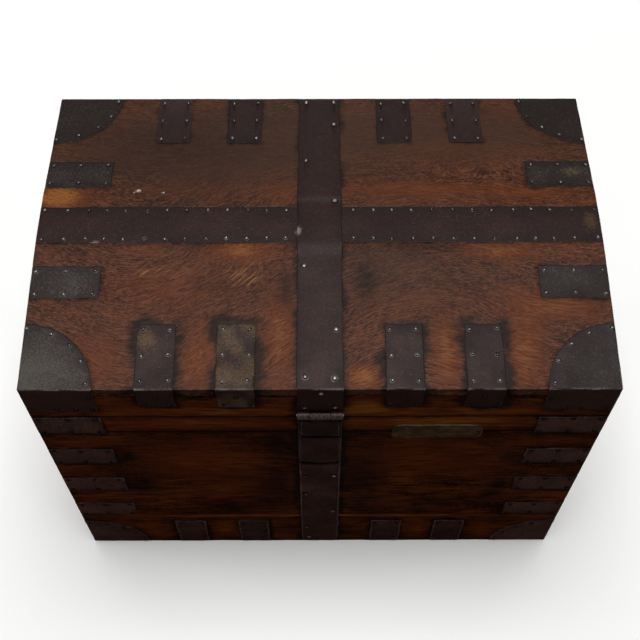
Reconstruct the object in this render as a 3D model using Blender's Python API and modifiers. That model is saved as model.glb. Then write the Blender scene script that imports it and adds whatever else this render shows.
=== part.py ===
"""Iron-bound oak silver chest: crowned lid on two hinges, hasp flap, internal lock and bail handles.

Metres, +Z up. The front faces -Y, +X is the viewer's right, and the chest rests on z = 0.
"""

import math

import bmesh
import bpy
from mathutils import Matrix, Vector

# Chest, measured over the iron
WIDTH = 0.760
DEPTH = 0.4865
JOINT_HEIGHT = 0.470  # where the lid parts from the body
LID_HEIGHT = 0.0757  # from there to the lid's front and back edges
CROWN = 0.018  # rise of the lid from those edges to its ridge
RIDGE_REACH = 0.060  # half depth of the rounded ridge between the lid's two slopes
RIDGE_STEPS = 4  # chords on each half of the ridge

# Oak boards
BOARD = 0.022
LID_BOARD = 0.016
FLOOR_BOARD = 0.018
UPPER_BOARD = 0.0442  # height of the upper of the two front boards
EDGE_EASE = 0.0012  # rounding of the boards' edges
EASE_STEPS = 2

# Wrought iron plate
IRON = 0.0025
PROUD = 0.0005  # iron above the wood that it is let into
GAP = 0.0003  # left between pieces that touch
BEND_STEPS = 4  # chords round the outside of a bend
SHARP_BEND = math.radians(30)
STRAP = 0.060  # width of the cross strap and the centre straps
STRAP_RAMP = 0.010  # where the lid's centre strap climbs over the cross strap
BRACKET = 0.049  # width of every bracket, corner strap and clip
BRACKET_LEG = 0.092  # reach of a bracket over the lid, and of a corner strap round a corner
BRACKET_LIFT = 0.0277  # foot of a lid bracket, above the parting line
CORNER_RADIUS = 0.093  # quarter-round plates on the lid's corners
CORNER_LIFT = 0.0157  # foot of a lid corner or a lid strap, above the parting line
CORNER_STRAPS = 4  # straps up each front corner of the body
CORNER_STRAP_REST = 0.0266  # lowest corner strap, above the boot
STRAP_SETBACK = 0.0015  # top of the body's iron, below the lid
BOOT_RADIUS = 0.095  # quarter-round plates on the bottom corners
CLIP_LEG = 0.093  # bottom edge clips, up the front
CLIP_FOOT = 0.050  # and under the base

# Hinges
BARREL = 0.0055  # radius of a hinge or hasp barrel
BARREL_BITE = 0.002  # how far a barrel sits back into its leaf
KNUCKLE_LAP = 0.001  # how far a leaf runs past the barrel's middle
KNUCKLE_GAP = 0.0004
SWING_GAP = 0.0006  # between a barrel and the edge that turns round it
HINGE_PIN = 0.0025
HINGE_KNUCKLE = 0.017  # the lid's knuckle, between the body's two
HINGE_LEAF = 0.090
PIN_HEAD = 0.001  # how far a pin shows past its knuckles
PIN_CLEARANCE = 0.0003

# Hasp and lock
HASP_RISE = 0.011  # hasp pin above the lid's parting line
HASP_COVER = 0.0105  # how far the flap hangs below the keyhole
HASP_CLEARANCE = 0.0006  # between the flap and the lock plate
HASP_WIDTH = 0.052
HASP_IRON = 0.003
HASP_KNUCKLE = 0.027
HASP_CORNER = 0.006
LOCK_PLATE_WIDTH = 0.056
LOCK_PLATE_IRON = 0.004
LOCK_PLATE_SETBACK = 0.006
LOCK_PLATE_LENGTH = 0.132
LOCK_PLATE_SAG = 0.006  # bow of its lower edge
KEYHOLE_DROP = 0.020
KEYHOLE_RADIUS = 0.004
KEYHOLE_SLOT = 0.0045
KEYHOLE_LENGTH = 0.011
LOCK_WALL = 0.002
LOCK_SETBACK = 0.003
LOCK_ROOM = 0.0025  # behind the tabs
LINK_SPACING = 0.048  # between the two tabs that drop into the lock
LINK_MARGIN = 0.021  # link plate past the middle of each tab
LINK_HEIGHT = 0.028
TAB = 0.003
TAB_SIDE_GAP = 0.001
TAB_EDGE = 0.003  # iron behind the eye
EYE_MARGIN = 0.004  # above and below the eye
EYE_ROOM = 0.0015  # above and below the finger in its eye
EYE_GAP = 0.001  # in front of it and behind
BOLT = 0.004
BOLT_BAR = 0.010
BOLT_FINGER = 0.005
BOLT_POST = 0.005
BOLT_THROW = 0.007  # how far the bolt slides, and the length of its fingers
BOLT_LEAD = 0.002  # finger tip to tab when the lock is open
BOLT_TAIL = 0.004
BOLT_END_ROOM = 0.0045  # past the bolt's tail when the lock is open

# Bail handles
HANDLE_DROP = 0.170  # handle pivots, below the lid
HANDLE_MARGIN = 0.035  # handle plate past the middle of each lug
LUG_SPACING = 0.120
LUG = 0.010
LUG_RADIUS = 0.009
HANDLE_STANDOFF = 0.0125
BAIL_ROD = 0.0045
BAIL_SHOULDER = 0.017  # bail's arms outside the middle of the lugs
BAIL_DROP = 0.062
BAIL_TUCK = 0.002  # bail end past its lug
BAIL_END_BEND = 0.009
BAIL_GRIP_BEND = 0.018
BAIL_CLEARANCE = 0.0004
BAIL_BEND_STEPS = 6
BAIL_RESOLUTION = 2  # a rod of eight sides

# Modelling
CUT = 0.010  # how far a cutter reaches past what it cuts
ROUND_SIDES = 24
ARC_STEPS = 16
BALL_TURN = (0.11, 0.17, 0.05)  # keeps the edges of a boot's sphere out of the faces that it cuts
WELD = 0.00001

# Levels that follow from the sizes above
EDGE_HEIGHT = JOINT_HEIGHT + LID_HEIGHT
RAIL_LINE = JOINT_HEIGHT - UPPER_BOARD
WOOD_X = WIDTH / 2 - PROUD
WOOD_Y = DEPTH / 2 - PROUD
WOOD_BASE = PROUD
WOOD_EDGE = EDGE_HEIGHT - PROUD
IRON_X = WIDTH / 2 - IRON
IRON_Y = DEPTH / 2 - IRON
IRON_TOP = EDGE_HEIGHT - IRON
INSIDE_Y = WOOD_Y - BOARD
BODY_TOP = JOINT_HEIGHT - GAP / 2
LID_BASE = JOINT_HEIGHT + GAP / 2
BODY_IRON_TOP = JOINT_HEIGHT - STRAP_SETBACK
BRACKET_FOOT = JOINT_HEIGHT + BRACKET_LIFT
CORNER_FOOT = JOINT_HEIGHT + CORNER_LIFT
BARREL_OUT = BARREL - BARREL_BITE
HINGE_Y = DEPTH / 2 + BARREL_OUT
HASP_Y = -(DEPTH / 2 + BARREL_OUT)
HASP_Z = JOINT_HEIGHT + HASP_RISE
HANDLE_X = WIDTH / 2 + HANDLE_STANDOFF
HANDLE_HEIGHT = JOINT_HEIGHT - HANDLE_DROP
KNOTS = [RIDGE_REACH * k / RIDGE_STEPS for k in range(-RIDGE_STEPS, RIDGE_STEPS + 1)]

# Bracket centres: two at equal spaces between the centre strap and a corner, one halfway along an end
BRACKET_SPACE = (WIDTH / 2 - CORNER_RADIUS - STRAP / 2 - 2 * BRACKET) / 3
BRACKET_INNER = STRAP / 2 + BRACKET_SPACE + BRACKET / 2
BRACKET_OUTER = BRACKET_INNER + BRACKET + BRACKET_SPACE
SIDE_BRACKET = (STRAP / 2 + DEPTH / 2 - CORNER_RADIUS) / 2
CORNER_STRAP_RUN = BODY_IRON_TOP - BRACKET - BOOT_RADIUS - CORNER_STRAP_REST
CORNER_STRAP_PITCH = CORNER_STRAP_RUN / (CORNER_STRAPS - 1)

# The lock, built down from the lid and back from the front board, round its bolt
LOCK_FRONT = GAP - INSIDE_Y
LOCK_TOP = JOINT_HEIGHT - LOCK_SETBACK
EYE_TOP = LOCK_TOP - LOCK_WALL - EYE_MARGIN
EYE_FOOT = EYE_TOP - BOLT_FINGER - 2 * EYE_ROOM
TAB_FOOT = EYE_FOOT - EYE_MARGIN
BAR_TOP = TAB_FOOT - BOLT_LEAD
BAR_FOOT = BAR_TOP - BOLT_BAR
LOCK_FOOT = BAR_FOOT - GAP - LOCK_WALL
EYE_FRONT = LOCK_FRONT + IRON + TAB_SIDE_GAP
BOLT_FRONT = EYE_FRONT + EYE_GAP
EYE_BACK = BOLT_FRONT + BOLT + EYE_GAP
TAB_BACK = EYE_BACK + TAB_EDGE
LOCK_BACK = TAB_BACK + TAB_SIDE_GAP + LOCK_ROOM + LOCK_WALL
POST_REACH = TAB / 2 + BOLT_LEAD + BOLT_THROW  # front of a post, from the middle of its tab
LOCK_REACH = LINK_SPACING / 2 + POST_REACH + BOLT_POST + BOLT_TAIL + BOLT_END_ROOM + LOCK_WALL
LINK_REACH = LINK_SPACING / 2 + LINK_MARGIN
TABS = (("left", -LINK_SPACING / 2), ("right", LINK_SPACING / 2))

PLANES = {
    "YZ": Matrix(((0, 0, 1), (1, 0, 0), (0, 1, 0))).to_4x4(),
    "XZ": Matrix(((1, 0, 0), (0, 0, -1), (0, 1, 0))).to_4x4(),
    "XY": Matrix.Identity(4),
}
NORMALS = {"YZ": Vector((1, 0, 0)), "XZ": Vector((0, 1, 0)), "XY": Vector((0, 0, 1))}

for thing in list(bpy.data.objects):
    bpy.data.objects.remove(thing, do_unlink=True)

chest = bpy.data.collections.new("silver_chest")
cutters = bpy.data.collections.new("cutters")
bpy.context.scene.collection.children.link(chest)
bpy.context.scene.collection.children.link(cutters)


def material(name, colour, roughness, metallic):
    made = bpy.data.materials.new(name)
    made.use_nodes = True
    shader = made.node_tree.nodes["Principled BSDF"]
    shader.inputs["Base Color"].default_value = (*colour, 1)
    shader.inputs["Roughness"].default_value = roughness
    shader.inputs["Metallic"].default_value = metallic
    return made


oak_lid = material("oak_lid", (0.115, 0.040, 0.018), 0.5, 0.0)
oak_body = material("oak_body", (0.075, 0.028, 0.013), 0.55, 0.0)
oak_inside = material("oak_inside", (0.16, 0.075, 0.035), 0.7, 0.0)
iron_strap = material("iron_strap", (0.045, 0.034, 0.035), 0.5, 0.7)
iron_corner = material("iron_corner", (0.038, 0.040, 0.034), 0.55, 0.7)
iron_lock = material("iron_lock", (0.10, 0.09, 0.08), 0.45, 0.9)


def pivot(name, place, parent=None):
    """An empty on a joint's axis, which its moving pieces hang from."""
    empty = bpy.data.objects.new(name, None)
    empty.empty_display_size = 0.05
    chest.objects.link(empty)
    empty.location = place
    if parent:
        empty.parent = parent
        empty.matrix_parent_inverse = parent.matrix_world.inverted()
    bpy.context.view_layer.update()
    return empty


def finish(obj, holder, finish_material):
    """Puts a piece into the chest, hung from its pivot without moving it."""
    chest.objects.link(obj)
    obj.parent = holder
    obj.matrix_parent_inverse = holder.matrix_world.inverted()
    obj.data.materials.clear()
    obj.data.materials.append(finish_material)
    return obj


def helper(obj):
    """Puts a shape that only cuts or joins others out of sight."""
    cutters.objects.link(obj)
    obj.hide_render = True
    obj.display_type = "WIRE"
    return obj


def combine(obj, other, operation):
    step = obj.modifiers.new(other.name, "BOOLEAN")
    step.object = other
    step.operation = operation
    step.solver = "EXACT"


def cut(obj, *others):
    for other in others:
        combine(obj, other, "DIFFERENCE")


def join(obj, *others):
    for other in others:
        combine(obj, other, "UNION")


def from_bmesh(name, bm):
    mesh = bpy.data.meshes.new(name)
    bm.to_mesh(mesh)
    bm.free()
    return bpy.data.objects.new(name, mesh)


def box(name, corner, opposite):
    """A block between two opposite corners, with its origin at its middle."""
    size = [abs(b - a) for a, b in zip(corner, opposite)]
    bm = bmesh.new()
    bmesh.ops.create_cube(bm, size=1)
    bmesh.ops.scale(bm, vec=size, verts=bm.verts)
    obj = from_bmesh(name, bm)
    obj.location = [(a + b) / 2 for a, b in zip(corner, opposite)]
    return obj


def cylinder(name, radius, axis, centre, length):
    bm = bmesh.new()
    bmesh.ops.create_cone(
        bm, cap_ends=True, segments=ROUND_SIDES, radius1=radius, radius2=radius, depth=length
    )
    obj = from_bmesh(name, bm)
    obj.data.shade_smooth()
    obj.data.set_sharp_from_angle(angle=SHARP_BEND)
    obj.rotation_euler = {"X": (0, math.pi / 2, 0), "Y": (math.pi / 2, 0, 0)}[axis]
    obj.location = centre
    return obj


def mesh_from(curve_object):
    """The curve as a welded mesh object in the same place. The curve is removed."""
    bpy.context.scene.collection.objects.link(curve_object)
    graph = bpy.context.evaluated_depsgraph_get()
    mesh = bpy.data.meshes.new_from_object(curve_object.evaluated_get(graph))
    bm = bmesh.new()
    bm.from_mesh(mesh)
    bmesh.ops.remove_doubles(bm, verts=bm.verts, dist=WELD)
    bmesh.ops.recalc_face_normals(bm, faces=bm.faces)
    bm.to_mesh(mesh)
    bm.free()
    name = curve_object.name
    place = curve_object.matrix_world.copy()
    bpy.data.objects.remove(curve_object, do_unlink=True)
    obj = bpy.data.objects.new(name, mesh)
    obj.matrix_world = place
    return obj


def plate(name, points, plane, low, high):
    """A closed outline in the plane, given thickness from low to high along the plane's normal."""
    data = bpy.data.curves.new(name, "CURVE")
    data.dimensions = "2D"
    data.fill_mode = "BOTH"
    data.extrude = (high - low) / 2
    spline = data.splines.new("POLY")
    spline.points.add(len(points) - 1)
    for spot, (a, b) in zip(spline.points, points):
        spot.co = (a, b, 0, 1)
    spline.use_cyclic_u = True
    obj = bpy.data.objects.new(name, data)
    obj.matrix_world = Matrix.Translation(NORMALS[plane] * (low + high) / 2) @ PLANES[plane]
    return mesh_from(obj)


def strip(path, side=1, bed=None):
    """Outline of iron bent along a path, lying to its left, or to its right with side -1.

    It is round on the outside of each sharp bend and mitred at the slight ones. With a bed, which says how
    much longer it is at each end, it is the outline of the hollow for that iron, open to the outside.
    """
    low, high = (-GAP, IRON + CUT) if bed else (0, IRON)
    spots = [Vector(p) for p in path]
    runs = [(b - a).normalized() for a, b in zip(spots, spots[1:])]
    normals = [Vector((-run.y, run.x)) * side for run in runs]
    if bed:
        spots[0] = spots[0] - runs[0] * bed[0]
        spots[-1] = spots[-1] + runs[-1] * bed[1]
    inner = [spots[0] + normals[0] * low]
    outer = [spots[0] + normals[0] * high]
    for spot, first, second in zip(spots[1:], normals, normals[1:]):
        middle = (first + second).normalized()
        inner.append(spot + middle * low / middle.dot(first))
        turn = side * (first.x * second.y - first.y * second.x)
        if turn < -math.sin(SHARP_BEND):
            for k in range(BEND_STEPS + 1):
                outer.append(spot + first.slerp(second, k / BEND_STEPS) * high)
        else:
            outer.append(spot + middle * high / middle.dot(first))
    inner.append(spots[-1] + normals[-1] * low)
    outer.append(spots[-1] + normals[-1] * high)
    return inner + outer[::-1]


def mirrored(path):
    return [(-a, b) for a, b in path]


def crown_at(y):
    """Rise of the lid at depth y: straight slopes, and a ridge curve drawn as chords between knots."""
    slope = CROWN / (DEPTH / 2 - RIDGE_REACH / 2)
    out = abs(y)
    if out >= RIDGE_REACH:
        return CROWN - slope * (out - RIDGE_REACH / 2)
    chord = RIDGE_REACH / RIDGE_STEPS
    step = math.floor(out / chord)
    rises = [CROWN - slope * (k * chord) ** 2 / (2 * RIDGE_REACH) for k in (step, step + 1)]
    return rises[0] + (rises[1] - rises[0]) * (out / chord - step)


def lid_line(level, start, end):
    """Points along the crowned lid from depth start to depth end, at a level given for its edges."""
    stops = [start] + [knot for knot in KNOTS if start < knot < end] + [end]
    return [(y, level + crown_at(y)) for y in stops]


def crown(obj):
    """Lifts a piece that was made flat on to the crowned lid, with an edge at each knot of the ridge."""
    place = obj.matrix_basis
    bm = bmesh.new()
    bm.from_mesh(obj.data)
    bm.transform(place)
    for knot in KNOTS:
        everything = bm.verts[:] + bm.edges[:] + bm.faces[:]
        bmesh.ops.bisect_plane(bm, geom=everything, dist=WELD, plane_co=(0, knot, 0), plane_no=(0, 1, 0))
    for vert in bm.verts:
        vert.co.z += crown_at(vert.co.y)
    bm.transform(place.inverted())
    bm.to_mesh(obj.data)
    bm.free()
    return obj


def bed_in(boards, bed):
    """Cuts the hollow for an iron out of the boards."""
    helper(bed)
    for board in boards:
        cut(board, bed)


def let_in(name, path, side, plane, low, high, boards, bed=(GAP, GAP), past=GAP, shape=lambda obj: obj):
    """Iron bent along a path and let into the boards. The shape, if any, is done to it and to its bed."""
    bed_in(boards, shape(plate(f"{name}_bed", strip(path, side, bed), plane, low - GAP, high + past)))
    return shape(plate(name, strip(path, side), plane, low, high))


def ease(obj):
    """Rounds a board's edges a little."""
    rounding = obj.modifiers.new("ease", "BEVEL")
    rounding.width = EDGE_EASE
    rounding.segments = EASE_STEPS
    rounding.limit_method = "ANGLE"
    rounding.angle_limit = SHARP_BEND
    return obj


def arc(centre, radius, start, end, steps=ARC_STEPS):
    """Points round a centre, from one angle to another in degrees."""
    angles = [math.radians(start + (end - start) * k / steps) for k in range(steps + 1)]
    return [(centre[0] + radius * math.cos(a), centre[1] + radius * math.sin(a)) for a in angles]


body = pivot("body", (0, 0, 0))
lid = pivot("lid_pivot", (0, HINGE_Y, JOINT_HEIGHT), body)
hasp_turn = pivot("hasp_pivot", (0, HASP_Y, HASP_Z), lid)
bolt_slide = pivot("bolt_slide", (0, -INSIDE_Y, JOINT_HEIGHT), body)
SIDES = (("left", -1), ("right", 1))
ENDS = (("front", -1), ("back", 1))


def lid_boards():
    """Crowned top board on a frame of two rails and two shaped ends."""
    under = WOOD_EDGE - LID_BOARD
    top = lid_line(WOOD_EDGE, -WOOD_Y, WOOD_Y)
    bottom = lid_line(under, -WOOD_Y, WOOD_Y)
    boards = [finish(ease(plate("lid_top", top + bottom[::-1], "YZ", -WOOD_X, WOOD_X)), lid, oak_lid)]
    for word, sign in ENDS:
        near, far = sorted((sign * INSIDE_Y, sign * WOOD_Y))
        edge = lid_line(under - GAP, near, far)
        rail = plate(f"lid_rail_{word}", edge + [(far, LID_BASE), (near, LID_BASE)], "YZ", -WOOD_X, WOOD_X)
        boards.append(finish(ease(rail), lid, oak_body))
    reach = INSIDE_Y - GAP
    edge = lid_line(under - GAP, -reach, reach)
    for word, sign in SIDES:
        near, far = sorted((sign * (WOOD_X - BOARD), sign * WOOD_X))
        end = plate(f"lid_end_{word}", edge + [(reach, LID_BASE), (-reach, LID_BASE)], "YZ", near, far)
        boards.append(finish(ease(end), lid, oak_body))
    return boards


def body_boards(keyhole):
    """Front of two boards, back, ends held between them, and the floor inside."""
    upper = box("front_board_upper", (-WOOD_X, -WOOD_Y, RAIL_LINE + GAP), (WOOD_X, -INSIDE_Y, BODY_TOP))
    cut(ease(upper), *keyhole)
    lower = box("front_board_lower", (-WOOD_X, -WOOD_Y, WOOD_BASE), (WOOD_X, -INSIDE_Y, RAIL_LINE))
    back = box("back_board", (-WOOD_X, INSIDE_Y, WOOD_BASE), (WOOD_X, WOOD_Y, BODY_TOP))
    boards = [finish(board, body, oak_body) for board in (upper, ease(lower), ease(back))]
    reach = INSIDE_Y - GAP
    for word, sign in SIDES:
        inner, outer = sign * (WOOD_X - BOARD), sign * WOOD_X
        end = box(f"end_board_{word}", (inner, -reach, WOOD_BASE), (outer, reach, BODY_TOP))
        boards.append(finish(ease(end), body, oak_body))
    across = WOOD_X - BOARD - GAP
    floor = box("floor_board", (-across, -reach, WOOD_BASE), (across, reach, WOOD_BASE + FLOOR_BOARD))
    boards.append(finish(ease(floor), body, oak_inside))
    return boards


def keyhole_cutters():
    """A round hole with a slot below it, right through the lock plate, the strap and the front board."""
    height = JOINT_HEIGHT - KEYHOLE_DROP
    front, back = -DEPTH / 2 - CUT, -INSIDE_Y + CUT
    middle = (0, (front + back) / 2, height)
    hole = cylinder("keyhole_round", KEYHOLE_RADIUS, "Y", middle, back - front)
    low, high = (-KEYHOLE_SLOT / 2, front, height - KEYHOLE_LENGTH), (KEYHOLE_SLOT / 2, back, height)
    return helper(hole), helper(box("keyhole_slot", low, high))


def corner_block(name, sx, sy, reach, low, high, corner_z):
    """A block in one corner of the chest, with the edges that meet at its outer corner rounded."""
    x, y = sx * WIDTH / 2, sy * DEPTH / 2
    obj = box(name, (x - sx * reach, y - sy * reach, low), (x, y, high))
    corner = Vector((x, y, corner_z)) - obj.location
    bm = bmesh.new()
    bm.from_mesh(obj.data)
    tip = min(bm.verts, key=lambda vert: (vert.co - corner).length)
    bmesh.ops.bevel(
        bm, geom=tip.link_edges[:], offset=IRON, segments=BEND_STEPS, profile=0.5, affect="EDGES"
    )
    bm.to_mesh(obj.data)
    bm.free()
    return obj


def corner_bed(name, sx, sy, reach, low, high):
    """A block in one corner of the chest that reaches past its faces, to be carved as the bed of an iron."""
    x, y = sx * WIDTH / 2, sy * DEPTH / 2
    return box(name, (x - sx * reach, y - sy * reach, low), (x + sx * CUT, y + sy * CUT, high))


def corner_wood(name, sx, sy, reach, low, high, grow):
    """The space of the boards inside a corner iron, or inside the bed that is larger by grow."""
    x, y = sx * (WIDTH / 2 - reach - CUT), sy * (DEPTH / 2 - reach - CUT)
    return helper(box(name, (x, y, low), (sx * (IRON_X - grow), sy * (IRON_Y - grow), high)))


def carve_lid_corner(obj, sx, sy, grow):
    """Takes the boards out of a block on a lid's corner, and rounds off the plate on its top."""
    foot = CORNER_FOOT - CUT
    wood = corner_wood(obj.name + "_wood", sx, sy, CORNER_RADIUS, foot, IRON_TOP - grow, grow)
    edge, past = CORNER_RADIUS - GAP + grow, CORNER_RADIUS + CUT
    outside = -2 * CUT
    waste = [(edge, outside)] + arc((0, 0), edge, 0, 90)
    waste += [(outside, edge), (outside, past), (past, past), (past, outside)]
    corner = [(sx * (WIDTH / 2 - u), sy * (DEPTH / 2 - v)) for u, v in waste]
    low = IRON_TOP - 3 * GAP + grow
    rounding = plate(obj.name + "_waste", corner, "XY", low, EDGE_HEIGHT + 2 * CUT)
    cut(obj, crown(wood), helper(crown(rounding)))


def lid_corners(boards):
    """Quarter-round plate on each top corner, turned down over the front or back and the end."""
    for ends_word, sy in ENDS:
        for sides_word, sx in SIDES:
            name = f"lid_corner_{ends_word}_{sides_word}"
            obj = crown(corner_block(name, sx, sy, CORNER_RADIUS, CORNER_FOOT, EDGE_HEIGHT, EDGE_HEIGHT))
            carve_lid_corner(obj, sx, sy, 0)
            finish(obj, lid, iron_corner)
            reach, foot = CORNER_RADIUS + GAP, CORNER_FOOT - GAP
            bed = crown(corner_bed(name + "_bed", sx, sy, reach, foot, EDGE_HEIGHT + CUT))
            carve_lid_corner(bed, sx, sy, GAP)
            bed_in(boards, bed)


def carve_boot(obj, sx, sy, grow):
    """Takes the boards out of a block on a bottom corner, and all that lies outside a sphere round it."""
    reach = BOOT_RADIUS + CUT
    wood = corner_wood(obj.name + "_wood", sx, sy, reach, IRON + grow, reach + CUT, grow)
    bm = bmesh.new()
    bmesh.ops.create_uvsphere(
        bm, u_segments=4 * ARC_STEPS, v_segments=2 * ARC_STEPS, radius=BOOT_RADIUS + grow
    )
    ball = from_bmesh(obj.name + "_ball", bm)
    ball.location = (sx * WIDTH / 2, sy * DEPTH / 2, 0)
    ball.rotation_euler = BALL_TURN
    cut(obj, wood)
    combine(obj, helper(ball), "INTERSECT")


def boots(boards):
    """Three quarter-round plates on each bottom corner: the shell of the corner inside a sphere."""
    for ends_word, sy in ENDS:
        for sides_word, sx in SIDES:
            name = f"boot_{ends_word}_{sides_word}"
            reach = BOOT_RADIUS + CUT
            obj = corner_block(name, sx, sy, reach, 0, reach, 0)
            carve_boot(obj, sx, sy, 0)
            finish(obj, body, iron_corner)
            bed = corner_bed(name + "_bed", sx, sy, reach, -CUT, reach)
            carve_boot(bed, sx, sy, GAP)
            bed_in(boards, bed)


def lid_bracket_path(foot):
    """Inner face of a bracket from its foot on the lid's front to its end on the lid's top."""
    return [(-IRON_Y, foot)] + lid_line(IRON_TOP, -IRON_Y, BRACKET_LEG - DEPTH / 2)


def lid_brackets(boards):
    """Brackets over the lid's front, back and end edges."""
    front = lid_bracket_path(BRACKET_FOOT)
    half = BRACKET / 2
    for word, sx in SIDES:
        for row, centre in (("outer", sx * BRACKET_OUTER), ("inner", sx * BRACKET_INNER)):
            name = f"lid_front_bracket_{row}_{word}"
            bracket = let_in(name, front, 1, "YZ", centre - half, centre + half, boards)
            finish(bracket, lid, iron_strap)
        low, high = sx * BRACKET_INNER - half, sx * BRACKET_INNER + half
        back = let_in(f"lid_back_bracket_{word}", mirrored(front), -1, "YZ", low, high, boards)
        finish(back, lid, iron_strap)
        end = [(IRON_X, BRACKET_FOOT), (IRON_X, IRON_TOP), (WIDTH / 2 - BRACKET_LEG, IRON_TOP)]
        path = end if sx > 0 else mirrored(end)
        for row, sy in ENDS:
            low, high = sy * SIDE_BRACKET - half, sy * SIDE_BRACKET + half
            name = f"lid_end_bracket_{row}_{word}"
            bracket = let_in(name, path, -sx, "XZ", low, high, boards, shape=crown)
            finish(bracket, lid, iron_corner)


def hinges(lid_wood, body_wood):
    """Lid leaf that runs over the lid as a bracket, body leaf with two knuckles, and the pin."""
    stop = JOINT_HEIGHT + BARREL + SWING_GAP
    foot = JOINT_HEIGHT - KNUCKLE_LAP
    outer = (BRACKET - HINGE_KNUCKLE) / 2 - KNUCKLE_GAP
    offset = (BRACKET - outer) / 2
    for word, sx in SIDES:
        x = sx * BRACKET_OUTER
        axis = Vector((x, HINGE_Y, JOINT_HEIGHT))
        bore = helper(cylinder(f"hinge_bore_{word}", HINGE_PIN + PIN_CLEARANCE, "X", axis, BRACKET + CUT))

        path = mirrored(lid_bracket_path(foot))
        low, high = x - BRACKET / 2, x + BRACKET / 2
        leaf = let_in(f"lid_hinge_leaf_{word}", path, -1, "YZ", low, high, lid_wood)
        for k in (-1, 1):
            near, far = x + k * HINGE_KNUCKLE / 2, x + k * (BRACKET / 2 + CUT)
            low, high = (near, IRON_Y - CUT, foot - CUT), (far, DEPTH / 2 + CUT, stop)
            cut(leaf, helper(box(f"hinge_relief_{word}_{k}", low, high)))
        join(leaf, helper(cylinder(f"hinge_knuckle_{word}", BARREL, "X", axis, HINGE_KNUCKLE)))
        cut(leaf, bore)
        finish(leaf, lid, iron_strap)

        path = [(IRON_Y, JOINT_HEIGHT - HINGE_LEAF), (IRON_Y, JOINT_HEIGHT + KNUCKLE_LAP)]
        leaf = let_in(f"hinge_leaf_{word}", path, -1, "YZ", x - BRACKET / 2, x + BRACKET / 2, body_wood)
        near = x - HINGE_KNUCKLE / 2 - KNUCKLE_GAP
        low = (near, IRON_Y - CUT, JOINT_HEIGHT - BARREL - SWING_GAP)
        notch = box(f"hinge_notch_{word}", low, (2 * x - near, HINGE_Y + CUT, stop))
        cut(leaf, helper(notch))
        for k in (-1, 1):
            spot = axis + Vector((k * offset, 0, 0))
            join(leaf, helper(cylinder(f"hinge_end_{word}_{k}", BARREL, "X", spot, outer)))
        cut(leaf, bore)
        finish(leaf, body, iron_strap)

        pin = cylinder(f"hinge_pin_{word}", HINGE_PIN, "X", axis, BRACKET + 2 * PIN_HEAD)
        finish(pin, body, iron_lock)


def lid_straps(boards, bore):
    """Cross strap from end to end, and the centre strap over it, which carries the hasp's knuckles."""
    right = [(IRON_X, IRON_TOP), (IRON_X, CORNER_FOOT)]
    across = mirrored(right)[::-1] + right
    half = STRAP / 2
    strap = let_in("lid_cross_strap", across, 1, "XZ", -half, half, boards, shape=crown)
    finish(strap, lid, iron_strap)

    over = half + GAP
    raised = IRON_TOP + IRON + GAP
    path = [(-IRON_Y, HASP_Z - KNUCKLE_LAP)]
    path += lid_line(IRON_TOP, -IRON_Y, -over - STRAP_RAMP)
    path += lid_line(raised, -over, over)
    path += lid_line(IRON_TOP, over + STRAP_RAMP, IRON_Y)
    path += [(IRON_Y, CORNER_FOOT)]
    strap = let_in("lid_centre_strap", path, 1, "YZ", -half, half, boards, bed=(HASP_RISE, GAP))
    mouth = HASP_KNUCKLE / 2 + KNUCKLE_GAP
    low = (-mouth, HASP_Y - CUT, HASP_Z - CUT)
    notch = box("hasp_notch", low, (mouth, -IRON_Y + CUT, HASP_Z + BARREL + SWING_GAP))
    cut(strap, helper(notch))
    length = half - mouth
    for k in (-1, 1):
        spot = (k * (STRAP - length) / 2, HASP_Y, HASP_Z)
        join(strap, helper(cylinder(f"strap_knuckle_{k}", BARREL, "X", spot, length)))
    cut(strap, bore)
    finish(strap, lid, iron_strap)


def hasp_bore():
    place = (0, HASP_Y, HASP_Z)
    return helper(cylinder("hasp_bore", HINGE_PIN + PIN_CLEARANCE, "X", place, STRAP + CUT))


def hasp(bore):
    """Flap that hangs from a pin at the front of the lid's centre strap and covers the keyhole."""
    neck, half = HASP_KNUCKLE / 2, HASP_WIDTH / 2
    shoulder = HASP_Z - BARREL - SWING_GAP
    foot = JOINT_HEIGHT - KEYHOLE_DROP - KEYHOLE_LENGTH - HASP_COVER
    right = [(neck, HASP_Z + KNUCKLE_LAP), (neck, shoulder), (half, shoulder)]
    right += arc((half - HASP_CORNER, foot + HASP_CORNER), HASP_CORNER, 0, -90, BEND_STEPS)
    outline = right + mirrored(right)[::-1]
    inner = -(DEPTH / 2 + GAP + LOCK_PLATE_IRON + HASP_CLEARANCE)
    flap = plate("hasp", outline, "XZ", inner - HASP_IRON, inner)
    join(flap, helper(cylinder("hasp_knuckle", BARREL, "X", (0, HASP_Y, HASP_Z), HASP_KNUCKLE)))
    cut(flap, bore)
    finish(flap, hasp_turn, iron_strap)
    pin = cylinder("hasp_pin", HINGE_PIN, "X", (0, HASP_Y, HASP_Z), STRAP + 2 * PIN_HEAD)
    finish(pin, lid, iron_lock)


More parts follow.
